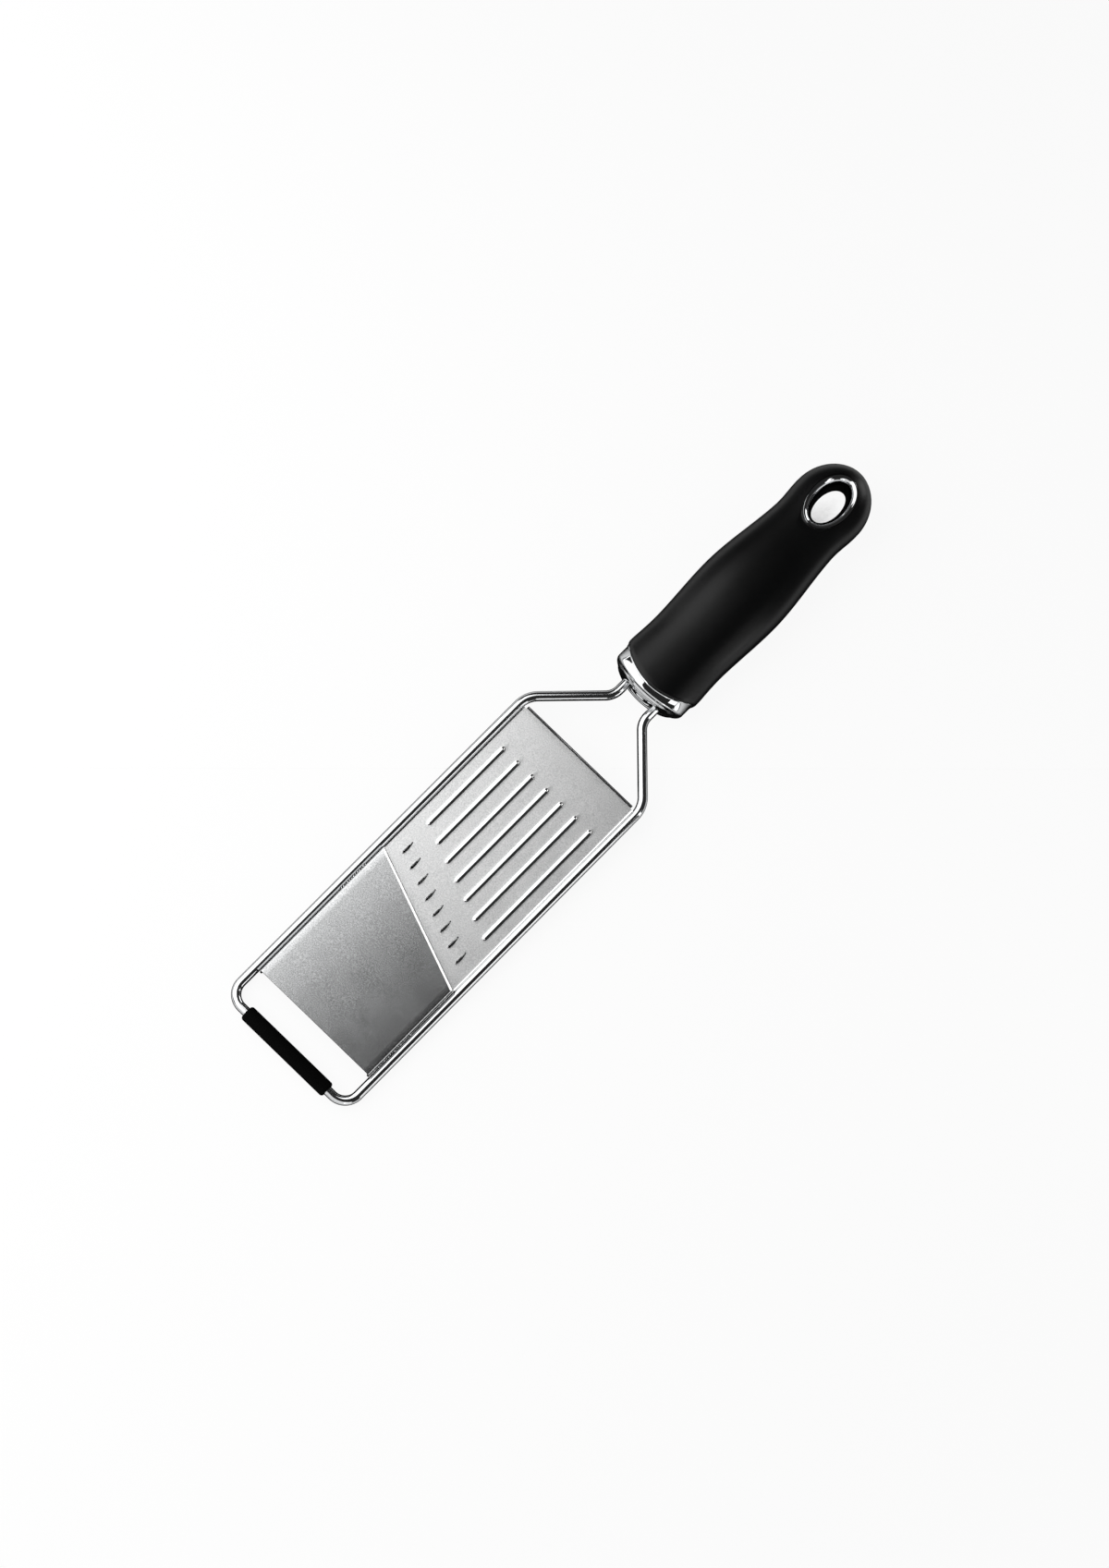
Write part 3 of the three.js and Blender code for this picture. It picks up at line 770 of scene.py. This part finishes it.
def fin(mesh, x):
    """Stands one tooth up along its slot."""
    front = slant_at(TOOTH_LEAD, x)
    strip = bmesh.ops.create_grid(mesh, x_segments=FIN_STEPS, y_segments=1, size=0.5)["verts"]
    # The strip starts one unit long about its middle, so its own x gives the share of the length.
    for vert in strip:
        t = vert.co.x + 0.5
        height = RUNWAY_TOP + fin_top(t) if vert.co.y > 0 else FIN_ROOT
        vert.co = (x, front + TOOTH_LENGTH * t, height)
    faces = list({f for v in strip for f in v.link_faces})
    pushed = bmesh.ops.extrude_face_region(mesh, geom=faces)["geom"]
    for vert in verts_in(pushed):
        stands = max(vert.co.z - RUNWAY_TOP, 0)
        vert.co.x -= FIN_SHEET
        vert.co.z -= min(FIN_SLANT, stands)


for x in TOOTH_PLACES:
    fin(runway, x)
make_piece(runway, "ridged_runway", [satin_steel], "runway_plate", crease=28)

# %% [markdown]
# The blade plate is plain sheet, so a coarse grid is enough. The blank is folded, sheared along the slant
# and thickened. Its edge is ground: one slanting plane takes the corner off the top. Cutting the solid
# with that plane and closing the cut is what the grinding wheel did.

# %% The blade plate with its ground edge
PLATE_HALF = 29.2
BLADE_TOP = 3.6
BLADE_SHEET = 0.8
BLADE_FRONT = 15.0
BLADE_BLANK_REAR = 90.0
BLADE_COLUMNS = 24
BLADE_ROWS = 40
BLADE_BEND = 0.9
BLADE_FLANGE = 5.2
BLADE_FLAT_HALF = PLATE_HALF - BLADE_BEND
ACROSS_EDGE = Vector((sin(EDGE_ANGLE), cos(EDGE_ANGLE), 0))
BEVEL_WIDTH = 0.9
BEVEL_TIP = 0.29
BEVEL_FALL = (BLADE_SHEET - BEVEL_TIP) / BEVEL_WIDTH
# The place of the ground steel among the blade's materials.
GROUND = 1

blade = flat_sheet(BLADE_COLUMNS, BLADE_ROWS, BLADE_FLAT_HALF, BLADE_FRONT, BLADE_BLANK_REAR, BLADE_TOP)
for side in (1, -1):
    ring = fold_side(blade, side, BLADE_FLAT_HALF, BLADE_TOP, BLADE_BEND, -pi / 2)
    feed(blade, ring, Vector((0, 0, -1)), BLADE_FLANGE - BLADE_BEND)
shear(blade, (0, EDGE_AT, 0), ACROSS_EDGE)
thicken(blade, BLADE_SHEET)

bevel_start = Vector((0, EDGE_AT, BLADE_TOP)) - ACROSS_EDGE * BEVEL_WIDTH
cut = shear(blade, bevel_start, Vector((0, 0, 1)) + ACROSS_EDGE * BEVEL_FALL)
closed = bmesh.ops.contextual_create(blade, geom=cut)["faces"]
for face in closed:
    face.material_index = GROUND
print("ground faces", len(closed))
make_piece(blade, "raised_blade", [rolled_steel, ground_steel], "blade_plate", crease=20)

# %% [markdown]
# The blade plate is welded to the rails in short runs along its two sides. A weld leaves a row of small
# uneven drops in the groove between plate and wire. Each drop is a little sphere, and two waves vary
# its size and place, because no two drops are alike.

# %% The weld beads
WELD_STEP = 1.1
WELD_LEVEL = 1.7
BEAD_RADIUS = 0.34
BEAD_VARIES = 0.12
SIZE_WAVE = 2.4
PLACE_WAVE = 1.7
# Each run has its side of the tool, the place of its first drop and the number of drops.
WELD_RUNS = [(-1, 60.5, 13), (1, 17.0, 20), (1, 53.5, 4)]

welds = bmesh.new()
for side, start, count in WELD_RUNS:
    for index in range(count):
        radius = BEAD_RADIUS + BEAD_VARIES * sin(SIZE_WAVE * index)
        x = side * (RUNWAY_HALF + BEAD_VARIES * cos(PLACE_WAVE * index))
        placing = Matrix.Translation((x, start + WELD_STEP * index, WELD_LEVEL))
        bmesh.ops.create_icosphere(welds, subdivisions=2, radius=radius, matrix=placing)
make_piece(welds, "weld_beads", [polished_steel])

# %% [markdown]
# The foot is a short rubber sleeve with a flat sole. A capped cylinder gives the sleeve, a bevel rounds
# its two ends, and a level cut makes the sole. It stands level while the tool is tilted, because the sole
# was moulded to lie flat.

# %% The front foot
FOOT_LENGTH = 43.8
FOOT_RADIUS = 3.3
FOOT_SIDES = 48
FOOT_ROUND = 1.2
ROUND_STEPS = 4


def capped_rod(sides, radius, length, placing):
    """A closed cylinder along its own Z axis, moved to its place."""
    mesh = bmesh.new()
    bmesh.ops.create_cone(
        mesh,
        cap_ends=True,
        segments=sides,
        radius1=radius,
        radius2=radius,
        depth=length,
        matrix=placing,
    )
    return mesh


foot = capped_rod(FOOT_SIDES, FOOT_RADIUS, FOOT_LENGTH, Matrix.Rotation(pi / 2, 4, "Y"))
rims = [e for e in foot.edges if abs(e.verts[0].co.x - e.verts[1].co.x) < TOUCHING]
bmesh.ops.bevel(
    foot,
    geom=rims,
    offset=FOOT_ROUND,
    affect="EDGES",
    segments=ROUND_STEPS,
    profile=0.5,
    material=-1,
)
sole = shear(foot, (0, 0, -FOOT_DROP), (0, 0, -1))
bmesh.ops.contextual_create(foot, geom=sole)
make_piece(foot, "rubber_foot", [foot_rubber], "front_foot", placing=LEVEL)

# %% [markdown]
# Ferrule and grip are built over oval sections that change along the handle. A circle is a poor start for
# a hand, so each ring is squared up a little, to a fuller oval. Rings in a row are then bridged into a
# skin. A ring can also be bowed, so that its sides lie further back than its middle, as the swept front of
# the grip does. Holes are carved with a second shape, as a drill or a core of the mould leaves them.

# %% Helpers for lofted skins and holes
FULLNESS = 2.4
OVAL_SIDES = 72


def quarter_turn(steps):
    """Angles from nothing to a right angle, in even steps."""
    return [pi / 2 * step / steps for step in range(steps + 1)]


def bow_back(x, radius):
    """How far an arc of this radius has fallen back at a distance from its middle."""
    return radius - sqrt(max(radius * radius - x * x, 0)) if radius else 0.0


def oval_ring(mesh, half_width, half_height, y, bow=0.0, share=1.0):
    """A ring of edges on a full oval square to the handle. Bow is the radius that sweeps its sides back."""
    made = bmesh.ops.create_circle(mesh, segments=OVAL_SIDES, radius=1)["verts"]
    for vert in made:
        angle = atan2(vert.co.y, vert.co.x)
        reach = [abs(v) ** (2 / FULLNESS) * (1 if v > 0 else -1) for v in (cos(angle), sin(angle))]
        x = half_width * reach[0]
        vert.co = (x, y + share * bow_back(x, bow), HANDLE_RISE + half_height * reach[1])
    return list({e for v in made for e in v.link_edges})


def skin(mesh, rings, close_front=False, close_rear=False):
    """Bridges rings of edges in a row, and closes the ends where asked."""
    for near, far in zip(rings, rings[1:]):
        bmesh.ops.bridge_loops(mesh, edges=near + far)
    if close_front:
        bmesh.ops.edgeloop_fill(mesh, edges=rings[0])
    if close_rear:
        bmesh.ops.edgeloop_fill(mesh, edges=rings[-1])


def carve(piece, mesh):
    """Cuts a mesh drawn in the tool's own millimetres out of a piece for good."""
    bmesh.ops.recalc_face_normals(mesh, faces=mesh.faces)
    cutter = as_object(mesh, "cutter", LAID)
    knife = piece.modifiers.new("cut", "BOOLEAN")
    knife.operation = "DIFFERENCE"
    knife.solver = "EXACT"
    knife.object = cutter
    shape = piece.evaluated_get(bpy.context.evaluated_depsgraph_get())
    cut = bpy.data.meshes.new_from_object(shape)
    piece.modifiers.remove(knife)
    old = piece.data
    piece.data = cut
    cut.name = old.name
    bpy.data.meshes.remove(old)
    bpy.data.objects.remove(cutter)
    print("carved", piece.name, len(cut.polygons), "faces")


print("ovals with", OVAL_SIDES, "sides")

# %% [markdown]
# The ferrule is a plated collar. Its front face is bowed and carries shallow rings, its rim is rounded,
# and its band runs back to the swept edge of the grip. There the band swells into a fine bead and then
# steps down into a skirt that the grip is moulded over.

# %% The ferrule
FERRULE_HALF = 17.2
FERRULE_HIGH = 10.0
CROWN = 4.0
CROWN_RADIUS = (FERRULE_HALF ** 2 + CROWN ** 2) / (2 * CROWN)
LIP_STEP = 0.9
LIP_HALF = FERRULE_HALF + LIP_STEP
LIP_HIGH = FERRULE_HIGH + LIP_STEP
SWOOP = 8.2
SWOOP_RADIUS = (LIP_HALF ** 2 + SWOOP ** 2) / (2 * SWOOP)
BAND_TOP = 3.4
# Each ring of the bead and the step lies so far behind the band's edge and stands out so far.
BEAD_RINGS = [(-0.7, 0.0), (-0.5, 0.2), (-0.25, 0.28), (0.0, 0.2), (0.6, -0.2), (0.6, -1.4)]
SKIRT_LENGTH = 17.0
SKIRT_INSET = 2.0
RIM_ROUND = 1.2
RIM_STEPS = 6
RIDGE_COUNT = 3
RIDGE_HEIGHT = 1.0
RINGED_SHARE = 0.9
FACE_STEPS = 36


def ferrule_ring(mesh, out, y, bow=0.0):
    """A ring that stands out from the band, or lies inside it where the distance is negative."""
    return oval_ring(mesh, FERRULE_HALF + out, FERRULE_HIGH + out, y, bow)


def face_ring(mesh, step):
    """One ring of the front face, raised or sunk by the shallow rings pressed into it."""
    share = 1 - RINGED_SHARE * step / FACE_STEPS
    ridge = RIDGE_HEIGHT * (cos(2 * pi * RIDGE_COUNT * step / FACE_STEPS) - 1) / 2
    half_width = (FERRULE_HALF - RIM_ROUND) * share
    half_height = (FERRULE_HIGH - RIM_ROUND) * share
    return oval_ring(mesh, half_width, half_height, FACE_AT + ridge, CROWN_RADIUS)


ferrule = bmesh.new()
rings = []
for angle in quarter_turn(RIM_STEPS):
    y = FACE_AT + RIM_ROUND * (1 - cos(angle))
    rings.append(ferrule_ring(ferrule, -RIM_ROUND * (1 - sin(angle)), y, CROWN_RADIUS))
for back, swell in BEAD_RINGS:
    rings.append(ferrule_ring(ferrule, swell, FACE_AT + BAND_TOP + back, SWOOP_RADIUS))
rings.append(ferrule_ring(ferrule, -SKIRT_INSET, FACE_AT + SKIRT_LENGTH))
skin(ferrule, rings, close_rear=True)
face_rings = [face_ring(ferrule, step) for step in range(1, FACE_STEPS + 1)]
skin(ferrule, rings[:1] + face_rings, close_rear=True)
ferrule_piece = make_piece(
    ferrule, "plated_ferrule", [mirror_plate], "ferrule", crease=40,
)

# %% [markdown]
# The two tangs of the wire go into the ferrule through drilled holes, a little wider than the wire so that
# it slides in. The face is bowed and ringed, so a hole in its grid would be hard to draw. Carving with a
# plain rod follows the face by itself, as a drill does.

# %% The holes for the tangs
DRILL_GAP = 0.3
DRILL_DEPTH = 12.0
DRILL_SIDES = 32

for side in (1, -1):
    placing = Matrix.Translation((side * TANG_HALF, FACE_AT, 0)) @ Matrix.Rotation(pi / 2, 4, "X")
    carve(ferrule_piece, capped_rod(DRILL_SIDES, WIRE_RADIUS + DRILL_GAP, DRILL_DEPTH, placing))

# %% [markdown]
# The grip swells from the lip to the belly, narrows to a waist and ends in a round tail. The sections at a
# few stations are known, so a smooth curve through them gives all the sections between. Straight lines
# between the stations would show as faint creases in the highlight.

# %% The sections of the grip
BELLY_AT = 59.0
TAIL_AT = 106.0
TAIL_HALF = 16.05
TAIL_HIGH = 10.5
# Each station has its distance behind the ferrule's face, its half width and its half height.
STATIONS = [
    (0.0, LIP_HALF, LIP_HIGH),
    (11.6, LIP_HALF, LIP_HIGH),
    (27.0, 17.5, 11.2),
    (BELLY_AT, 18.75, 12.5),
    (92.5, 15.4, 10.8),
    (TAIL_AT, TAIL_HALF, TAIL_HIGH),
    (119.5, 14.5, 10.3),
]


def smooth_between(place, column):
    """The half width or half height of the grip at a place, on a curve through the stations."""
    place = max(place, STATIONS[1][0])
    index = max(i for i in range(1, len(STATIONS) - 2) if STATIONS[i][0] <= place)
    before, here, after, beyond = STATIONS[index - 1:index + 3]
    span = after[0] - here[0]
    t = (place - here[0]) / span
    rise_here = (after[column] - before[column]) / (after[0] - before[0]) * span
    rise_after = (beyond[column] - here[column]) / (beyond[0] - here[0]) * span
    cube, square = t ** 3, t ** 2
    value = here[column] * (2 * cube - 3 * square + 1) + after[column] * (3 * square - 2 * cube)
    return value + rise_here * (cube - 2 * square + t) + rise_after * (cube - square)


def section(place):
    """The half width and the half height of the grip at a place."""
    return smooth_between(place, 1), smooth_between(place, 2)


print("half width and half height of the belly", section(BELLY_AT))

# %% [markdown]
# The front lip of the grip is rounded and swept back over the ferrule, and the sweep dies out in the
# rings behind it. The tail closes like an ellipse seen from above and like a bull nose seen from the
# side. The hand feels every bump, so all rings are bridged into one skin and no parts are joined on.

# %% The grip
# Each ring of the rounded lip lies so far inside the lip and so far behind the band's edge.
LIP_RINGS = [(2.4, 0.25), (1.0, 0.06), (0.45, 0.12), (0.15, 0.32), (0.0, 0.75)]
# Each ring of the sweep has its place and the share of the sweep that is left there.
SWEEP_RINGS = [(6.0, 0.86), (9.0, 0.62), (12.5, 0.38), (16.5, 0.17), (20.5, 0.04)]
SWEEP_REACH = 4
PLAIN_FROM = 24
PLAIN_STEP = 3
TAIL_LENGTH = 18.5
TAIL_TURN = radians(88.5)
TAIL_FULLNESS = 3.2
TAIL_STEPS = 16

grip = bmesh.new()
rings = []
for inset, back in LIP_RINGS:
    y = FACE_AT + BAND_TOP + back
    rings.append(oval_ring(grip, LIP_HALF - inset, LIP_HIGH - inset, y, SWOOP_RADIUS))
for place, share in SWEEP_RINGS:
    sizes = section(place + SWEEP_REACH * share)
    rings.append(oval_ring(grip, *sizes, FACE_AT + place, SWOOP_RADIUS, share))
for place in range(PLAIN_FROM, int(TAIL_AT) + 1, PLAIN_STEP):
    rings.append(oval_ring(grip, *section(place), FACE_AT + place))
for step in range(1, TAIL_STEPS + 1):
    angle = TAIL_TURN * step / TAIL_STEPS
    fall = (1 - sin(angle) ** TAIL_FULLNESS) ** (1 / TAIL_FULLNESS)
    y = FACE_AT + TAIL_AT + TAIL_LENGTH * sin(angle)
    rings.append(oval_ring(grip, TAIL_HALF * cos(angle), TAIL_HIGH * fall, y))
skin(grip, rings, close_front=True, close_rear=True)
grip_piece = make_piece(grip, "soft_grip", [soft_moulding], "grip", crease=60)

# %% [markdown]
# A hanging hole goes through the tail. It is cut with a stack of ovals that widens at both faces, so that
# the brink of the hole is rounded, and the eyelet then lines it.

# %% The hanging hole
HOLE_HALF = (4.85, 8.65)
FLARE = 3.8
RIM_HIGH = 9.2
EYELET_SIDES = 80
SEAT_GAP = 0.35
SEAT_GROW = FLARE + SEAT_GAP
BRINK_ROUND = 1.3
BRINK_STEPS = 6
MOUTH_GROW = 5.0
MOUTH_RISE = 2.2
CARVED_CREASE = radians(50)


def hole_ring(mesh, grow, z):
    """A level ring of edges round the hanging hole, grown from the hole's own oval."""
    size = Matrix.Diagonal((HOLE_HALF[0] + grow, HOLE_HALF[1] + grow, 1, 1))
    placing = Matrix.Translation((0, EYELET_AT, HANDLE_RISE + z)) @ size
    made = bmesh.ops.create_circle(mesh, segments=EYELET_SIDES, radius=1, matrix=placing)["verts"]
    return list({e for v in made for e in v.link_edges})


seat = bmesh.new()
levels = []
for angle in quarter_turn(BRINK_STEPS):
    levels.append((SEAT_GROW + BRINK_ROUND * (1 - cos(angle)), RIM_HIGH + BRINK_ROUND * sin(angle)))
levels.append((FLARE + MOUTH_GROW, RIM_HIGH + MOUTH_RISE))
upper = [hole_ring(seat, grow, z) for grow, z in levels]
lower = [hole_ring(seat, grow, -z) for grow, z in reversed(levels)]
skin(seat, lower + upper, close_front=True, close_rear=True)
carve(grip_piece, seat)
grip_piece.data.set_sharp_from_angle(angle=CARVED_CREASE)

# %% [markdown]
# The eyelet is two plated funnels, pushed into the hole from both faces until they almost meet. A round
# funnel could be spun, but this one is oval. So each is drawn as one closed chain of rings: up the inside
# of the funnel, round its rim and down the back. The rings are bridged all the way round, and that leaves
# a thin closed wall.

# %% The eyelet halves
EYELET_WALL = 1.0
THROAT_GAP = 0.15
FUNNEL_STEPS = 14
RIM_BULGE = 0.3
RIM_TURNS = 5
BACK_STEPS = 10


def eyelet_half(name, node, side):
    """One plated funnel that lines the hole on one face of the handle."""
    mesh = bmesh.new()
    rings = []
    for angle in quarter_turn(FUNNEL_STEPS):
        z = max(RIM_HIGH * sin(angle), THROAT_GAP)
        rings.append(hole_ring(mesh, FLARE * (1 - cos(angle)), side * z))
    rim = EYELET_WALL / 2
    for step in range(1, RIM_TURNS):
        angle = pi * step / RIM_TURNS
        z = RIM_HIGH - rim + rim * cos(angle)
        rings.append(hole_ring(mesh, FLARE + RIM_BULGE * sin(angle), side * z))
    for angle in reversed(quarter_turn(BACK_STEPS)[:-1]):
        z = max((RIM_HIGH - EYELET_WALL) * sin(angle), THROAT_GAP)
        rings.append(hole_ring(mesh, FLARE - (FLARE - EYELET_WALL) * cos(angle), side * z))
    rings.append(rings[0])
    skin(mesh, rings)
    make_piece(mesh, name, [mirror_plate], node, crease=60)


eyelet_half("eyelet_funnel_upper", "eyelet_upper", 1)
eyelet_half("eyelet_funnel_lower", "eyelet_lower", -1)

# %% [markdown]
# The core inside the grip doesn't show. Its two halves keep their CAD solids and only get their finish.

# %% Finish of the core halves
for name in ("core_lower", "core_upper"):
    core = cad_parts[name].data
    core.materials.clear()
    core.materials.append(core_plastic)
    print(name, "finished")

# %% [markdown]
# The floor is plain pale paper. To the camera and to mirrors it is mostly its own white, so that the
# picture gets a clean ground, and the rest of it is lit paper, which keeps the soft shadow of the tool.
# Where the tool lies close over the paper, its own white is taken away and its colour is painted dark:
# a painted shade that stands for the shadow there. The camera sees that painted shade only close to the
# tool, and mirrors on the tool see it wider.

# %% The paper of the floor
CLOSE_PAINTED_SHADE = 20 * MM
CLOSE_DARK = 0.17
CLOSE_CLEAR = 0.25
WIDE_PAINTED_SHADE = 150 * MM
WIDE_DARK = 0.9
WIDE_CLEAR = 1.0
OWN_WHITE = 0.92

paper = bpy.data.materials.new("white_studio_paper")
tree = empty_tree(paper)
path = add(tree, "ShaderNodeLightPath").outputs
seen = add(tree, "ShaderNodeMath", {0: path["Is Camera Ray"], 1: path["Is Glossy Ray"]})
clear = add(tree, "ShaderNodeMath", {0: seen.outputs[0], 1: path["Is Transmission Ray"]})
near = add(tree, "ShaderNodeAmbientOcclusion", {"Distance": CLOSE_PAINTED_SHADE}, samples=24)
near_open = add(tree, "ShaderNodeMapRange", {
    "Value": near.outputs["AO"], "From Min": CLOSE_DARK, "From Max": CLOSE_CLEAR,
}, interpolation_type="SMOOTHSTEP")
wide = add(tree, "ShaderNodeAmbientOcclusion", {"Distance": WIDE_PAINTED_SHADE}, samples=16)
wide_open = add(tree, "ShaderNodeMapRange", {
    "Value": wide.outputs["AO"], "From Min": WIDE_DARK, "From Max": WIDE_CLEAR,
}, interpolation_type="SMOOTHSTEP")
# Painted shade: how closed in the paper is, near for the camera and wide for mirrors, sets how dark it is
# painted.
painted_shade_open = add(tree, "ShaderNodeMix", {
    "Factor": path["Is Glossy Ray"],
    FIRST_NUMBER: near_open.outputs["Result"],
    SECOND_NUMBER: wide_open.outputs["Result"],
}, data_type="FLOAT").outputs[MIXED_NUMBER]
# Painted shade: the paper's colour goes from #f6f6f6 down to #1c1c1c where the tool closes it in.
tone = add(tree, "ShaderNodeMix", {
    "Factor": painted_shade_open, FIRST_COLOUR: linear("#1c1c1c"), SECOND_COLOUR: linear("#f6f6f6"),
}, data_type="RGBA")
lit = add(tree, "ShaderNodeBsdfDiffuse", {"Color": tone.outputs[MIXED_COLOUR]})
glow = add(tree, "ShaderNodeEmission", {"Color": (1, 1, 1, 1), "Strength": 1.0})
# Under the same painted shade the paper's own white is taken away too.
white = add(tree, "ShaderNodeMath", {0: painted_shade_open, 1: OWN_WHITE}, operation="MULTIPLY")
share = add(tree, "ShaderNodeMath", {0: clear.outputs[0], 1: white.outputs[0]}, operation="MULTIPLY")
blend = add(tree, "ShaderNodeMixShader", {
    0: share.outputs[0], 1: lit.outputs["BSDF"], 2: glow.outputs["Emission"],
})
add(tree, "ShaderNodeOutputMaterial", {"Surface": blend.outputs["Shader"]})
print("made", paper.name)

# %% [markdown]
# One level sheet is enough for the floor. It is far larger than the tool, so that its border never comes
# into the picture from any side.

# %% The floor
FLOOR_HALF = 12

sheet = bmesh.new()
bmesh.ops.create_grid(sheet, x_segments=1, y_segments=1, size=FLOOR_HALF)
floor = as_object(sheet, "studio_floor", Matrix.Identity(4))
floor.data.materials.append(paper)
print("floor", floor.name)

# %% [markdown]
# Bright metal shows its surroundings, so the light is built for what the metal should show. A large soft
# box on the left makes the white side of every wire and rib. The ceiling over the tool stays dark, which
# draws the dark line beside it. A low strip on the right and two boxes at the front light the steep sides
# that turn away from the large box. Small boxes on both sides and one behind the handle add the white
# blocks on the ferrule and the bright line on the ground edge.

# %% Soft boxes
# Each box has the middle of its lower edge, the middle of its upper edge, its length and its radiance.
SOFT_BOXES = {
    "left_box": ((-0.75, -0.295, 0.1), (-0.06, -0.295, 0.42), 0.81, 2.0),
    "left_top_box": ((-0.31, 0.14, 0.304), (-0.13, 0.14, 0.3875), 0.06, 2.0),
    "right_strip": ((0.62, 0.01, 0.06), (0.6, 0.01, 0.28), 0.22, 1.8),
    "front_right_box": ((0.5, -0.5, 0.03), (0.45, -0.45, 0.3), 0.25, 1.4),
    "front_box": ((0.15, -0.8, 0.05), (0.15, -0.5, 0.5), 0.9, 1.0),
    "right_box": ((0.3, 0.098, 0.04), (0.24, 0.098, 0.34), 0.036, 2.2),
    "rear_box": ((0.27, 0.9, 0.08), (0.27, 0.8, 0.5), 0.45, 3.0),
}


def soft_box(name, low, high, length, radiance):
    """A rectangular lamp between a lower and an upper level edge, each given by its middle."""
    low, high = Vector(low), Vector(high)
    rise = (high - low).normalized()
    along = rise.cross(Vector((0, 0, 1))).normalized()
    lamp = bpy.data.lights.new(name, "AREA")
    lamp.shape = "RECTANGLE"
    lamp.size = length
    lamp.size_y = (high - low).length
    lamp.energy = radiance * pi * lamp.size * lamp.size_y
    made = bpy.data.objects.new(name, lamp)
    turned = Matrix((along, rise, along.cross(rise))).transposed().to_4x4()
    made.matrix_world = Matrix.Translation((low + high) / 2) @ turned
    made.visible_camera = False
    bpy.context.scene.collection.objects.link(made)
    print(name, round(lamp.energy, 2), "W")


for name, box in SOFT_BOXES.items():
    soft_box(name, *box)

# %% [markdown]
# The room round the set is dim. Its walls are a little lighter near the floor and fade to an almost black
# ceiling, so that the tops of the wires and the ferrule have something dark to show.

# %% The room
WALL_SPAN = (0.1, 0.3)
WALL_LIGHT = 0.2
CEILING_LIGHT = 0.03

world = bpy.data.worlds.new("studio_room")
bpy.context.scene.world = world
tree = empty_tree(world)
way = add(tree, "ShaderNodeTexCoord").outputs["Generated"]
height = add(tree, "ShaderNodeSeparateXYZ", {"Vector": way}).outputs["Z"]
wall = add(tree, "ShaderNodeMapRange", {
    "Value": height,
    "From Min": WALL_SPAN[0],
    "From Max": WALL_SPAN[1],
    "To Min": WALL_LIGHT,
    "To Max": CEILING_LIGHT,
}, interpolation_type="SMOOTHSTEP")
room = add(tree, "ShaderNodeBackground", {"Color": (1, 1, 1, 1), "Strength": wall.outputs["Result"]})
add(tree, "ShaderNodeOutputWorld", {"Surface": room.outputs["Background"]})
print("room", world.name)

# %% [markdown]
# The camera looks down on the tool from a little in front of it and a little to its right. The handle runs
# up to the right in the picture, so the camera is rolled until the tool's own axis lies at that angle.

# %% Camera
SEEN_HEIGHT = 0.6104
DISTANCE = 3.2
SENSOR = 36.0
AXIS_ANGLE = radians(45.14)
LOOKED_FROM = Vector((0.087, -0.194, 1.0))
LOOKED_AT = Vector((0.4, 148.6, 0.0))

turn = LAID.to_3x3() * (1 / MM)
towards = (turn @ LOOKED_FROM).normalized()
axis = turn @ Vector((0, 1, 0))
flat_axis = (axis - towards * axis.dot(towards)).normalized()
right = cos(AXIS_ANGLE) * flat_axis - sin(AXIS_ANGLE) * towards.cross(flat_axis)
up = towards.cross(right)
look = Matrix((right, up, towards)).transposed().to_4x4()
look.translation = LAID @ LOOKED_AT + towards * DISTANCE

lens = bpy.data.cameras.new("studio_camera")
lens.sensor_fit = "AUTO"
lens.sensor_width = SENSOR
lens.lens = SENSOR * DISTANCE / SEEN_HEIGHT
lens.clip_end = 50.0
camera = bpy.data.objects.new("studio_camera", lens)
camera.matrix_world = look
bpy.context.scene.collection.objects.link(camera)
bpy.context.scene.camera = camera
bpy.context.scene.view_settings.view_transform = "Standard"
print("camera at", [round(v, 3) for v in camera.location], "lens", round(lens.lens, 1))
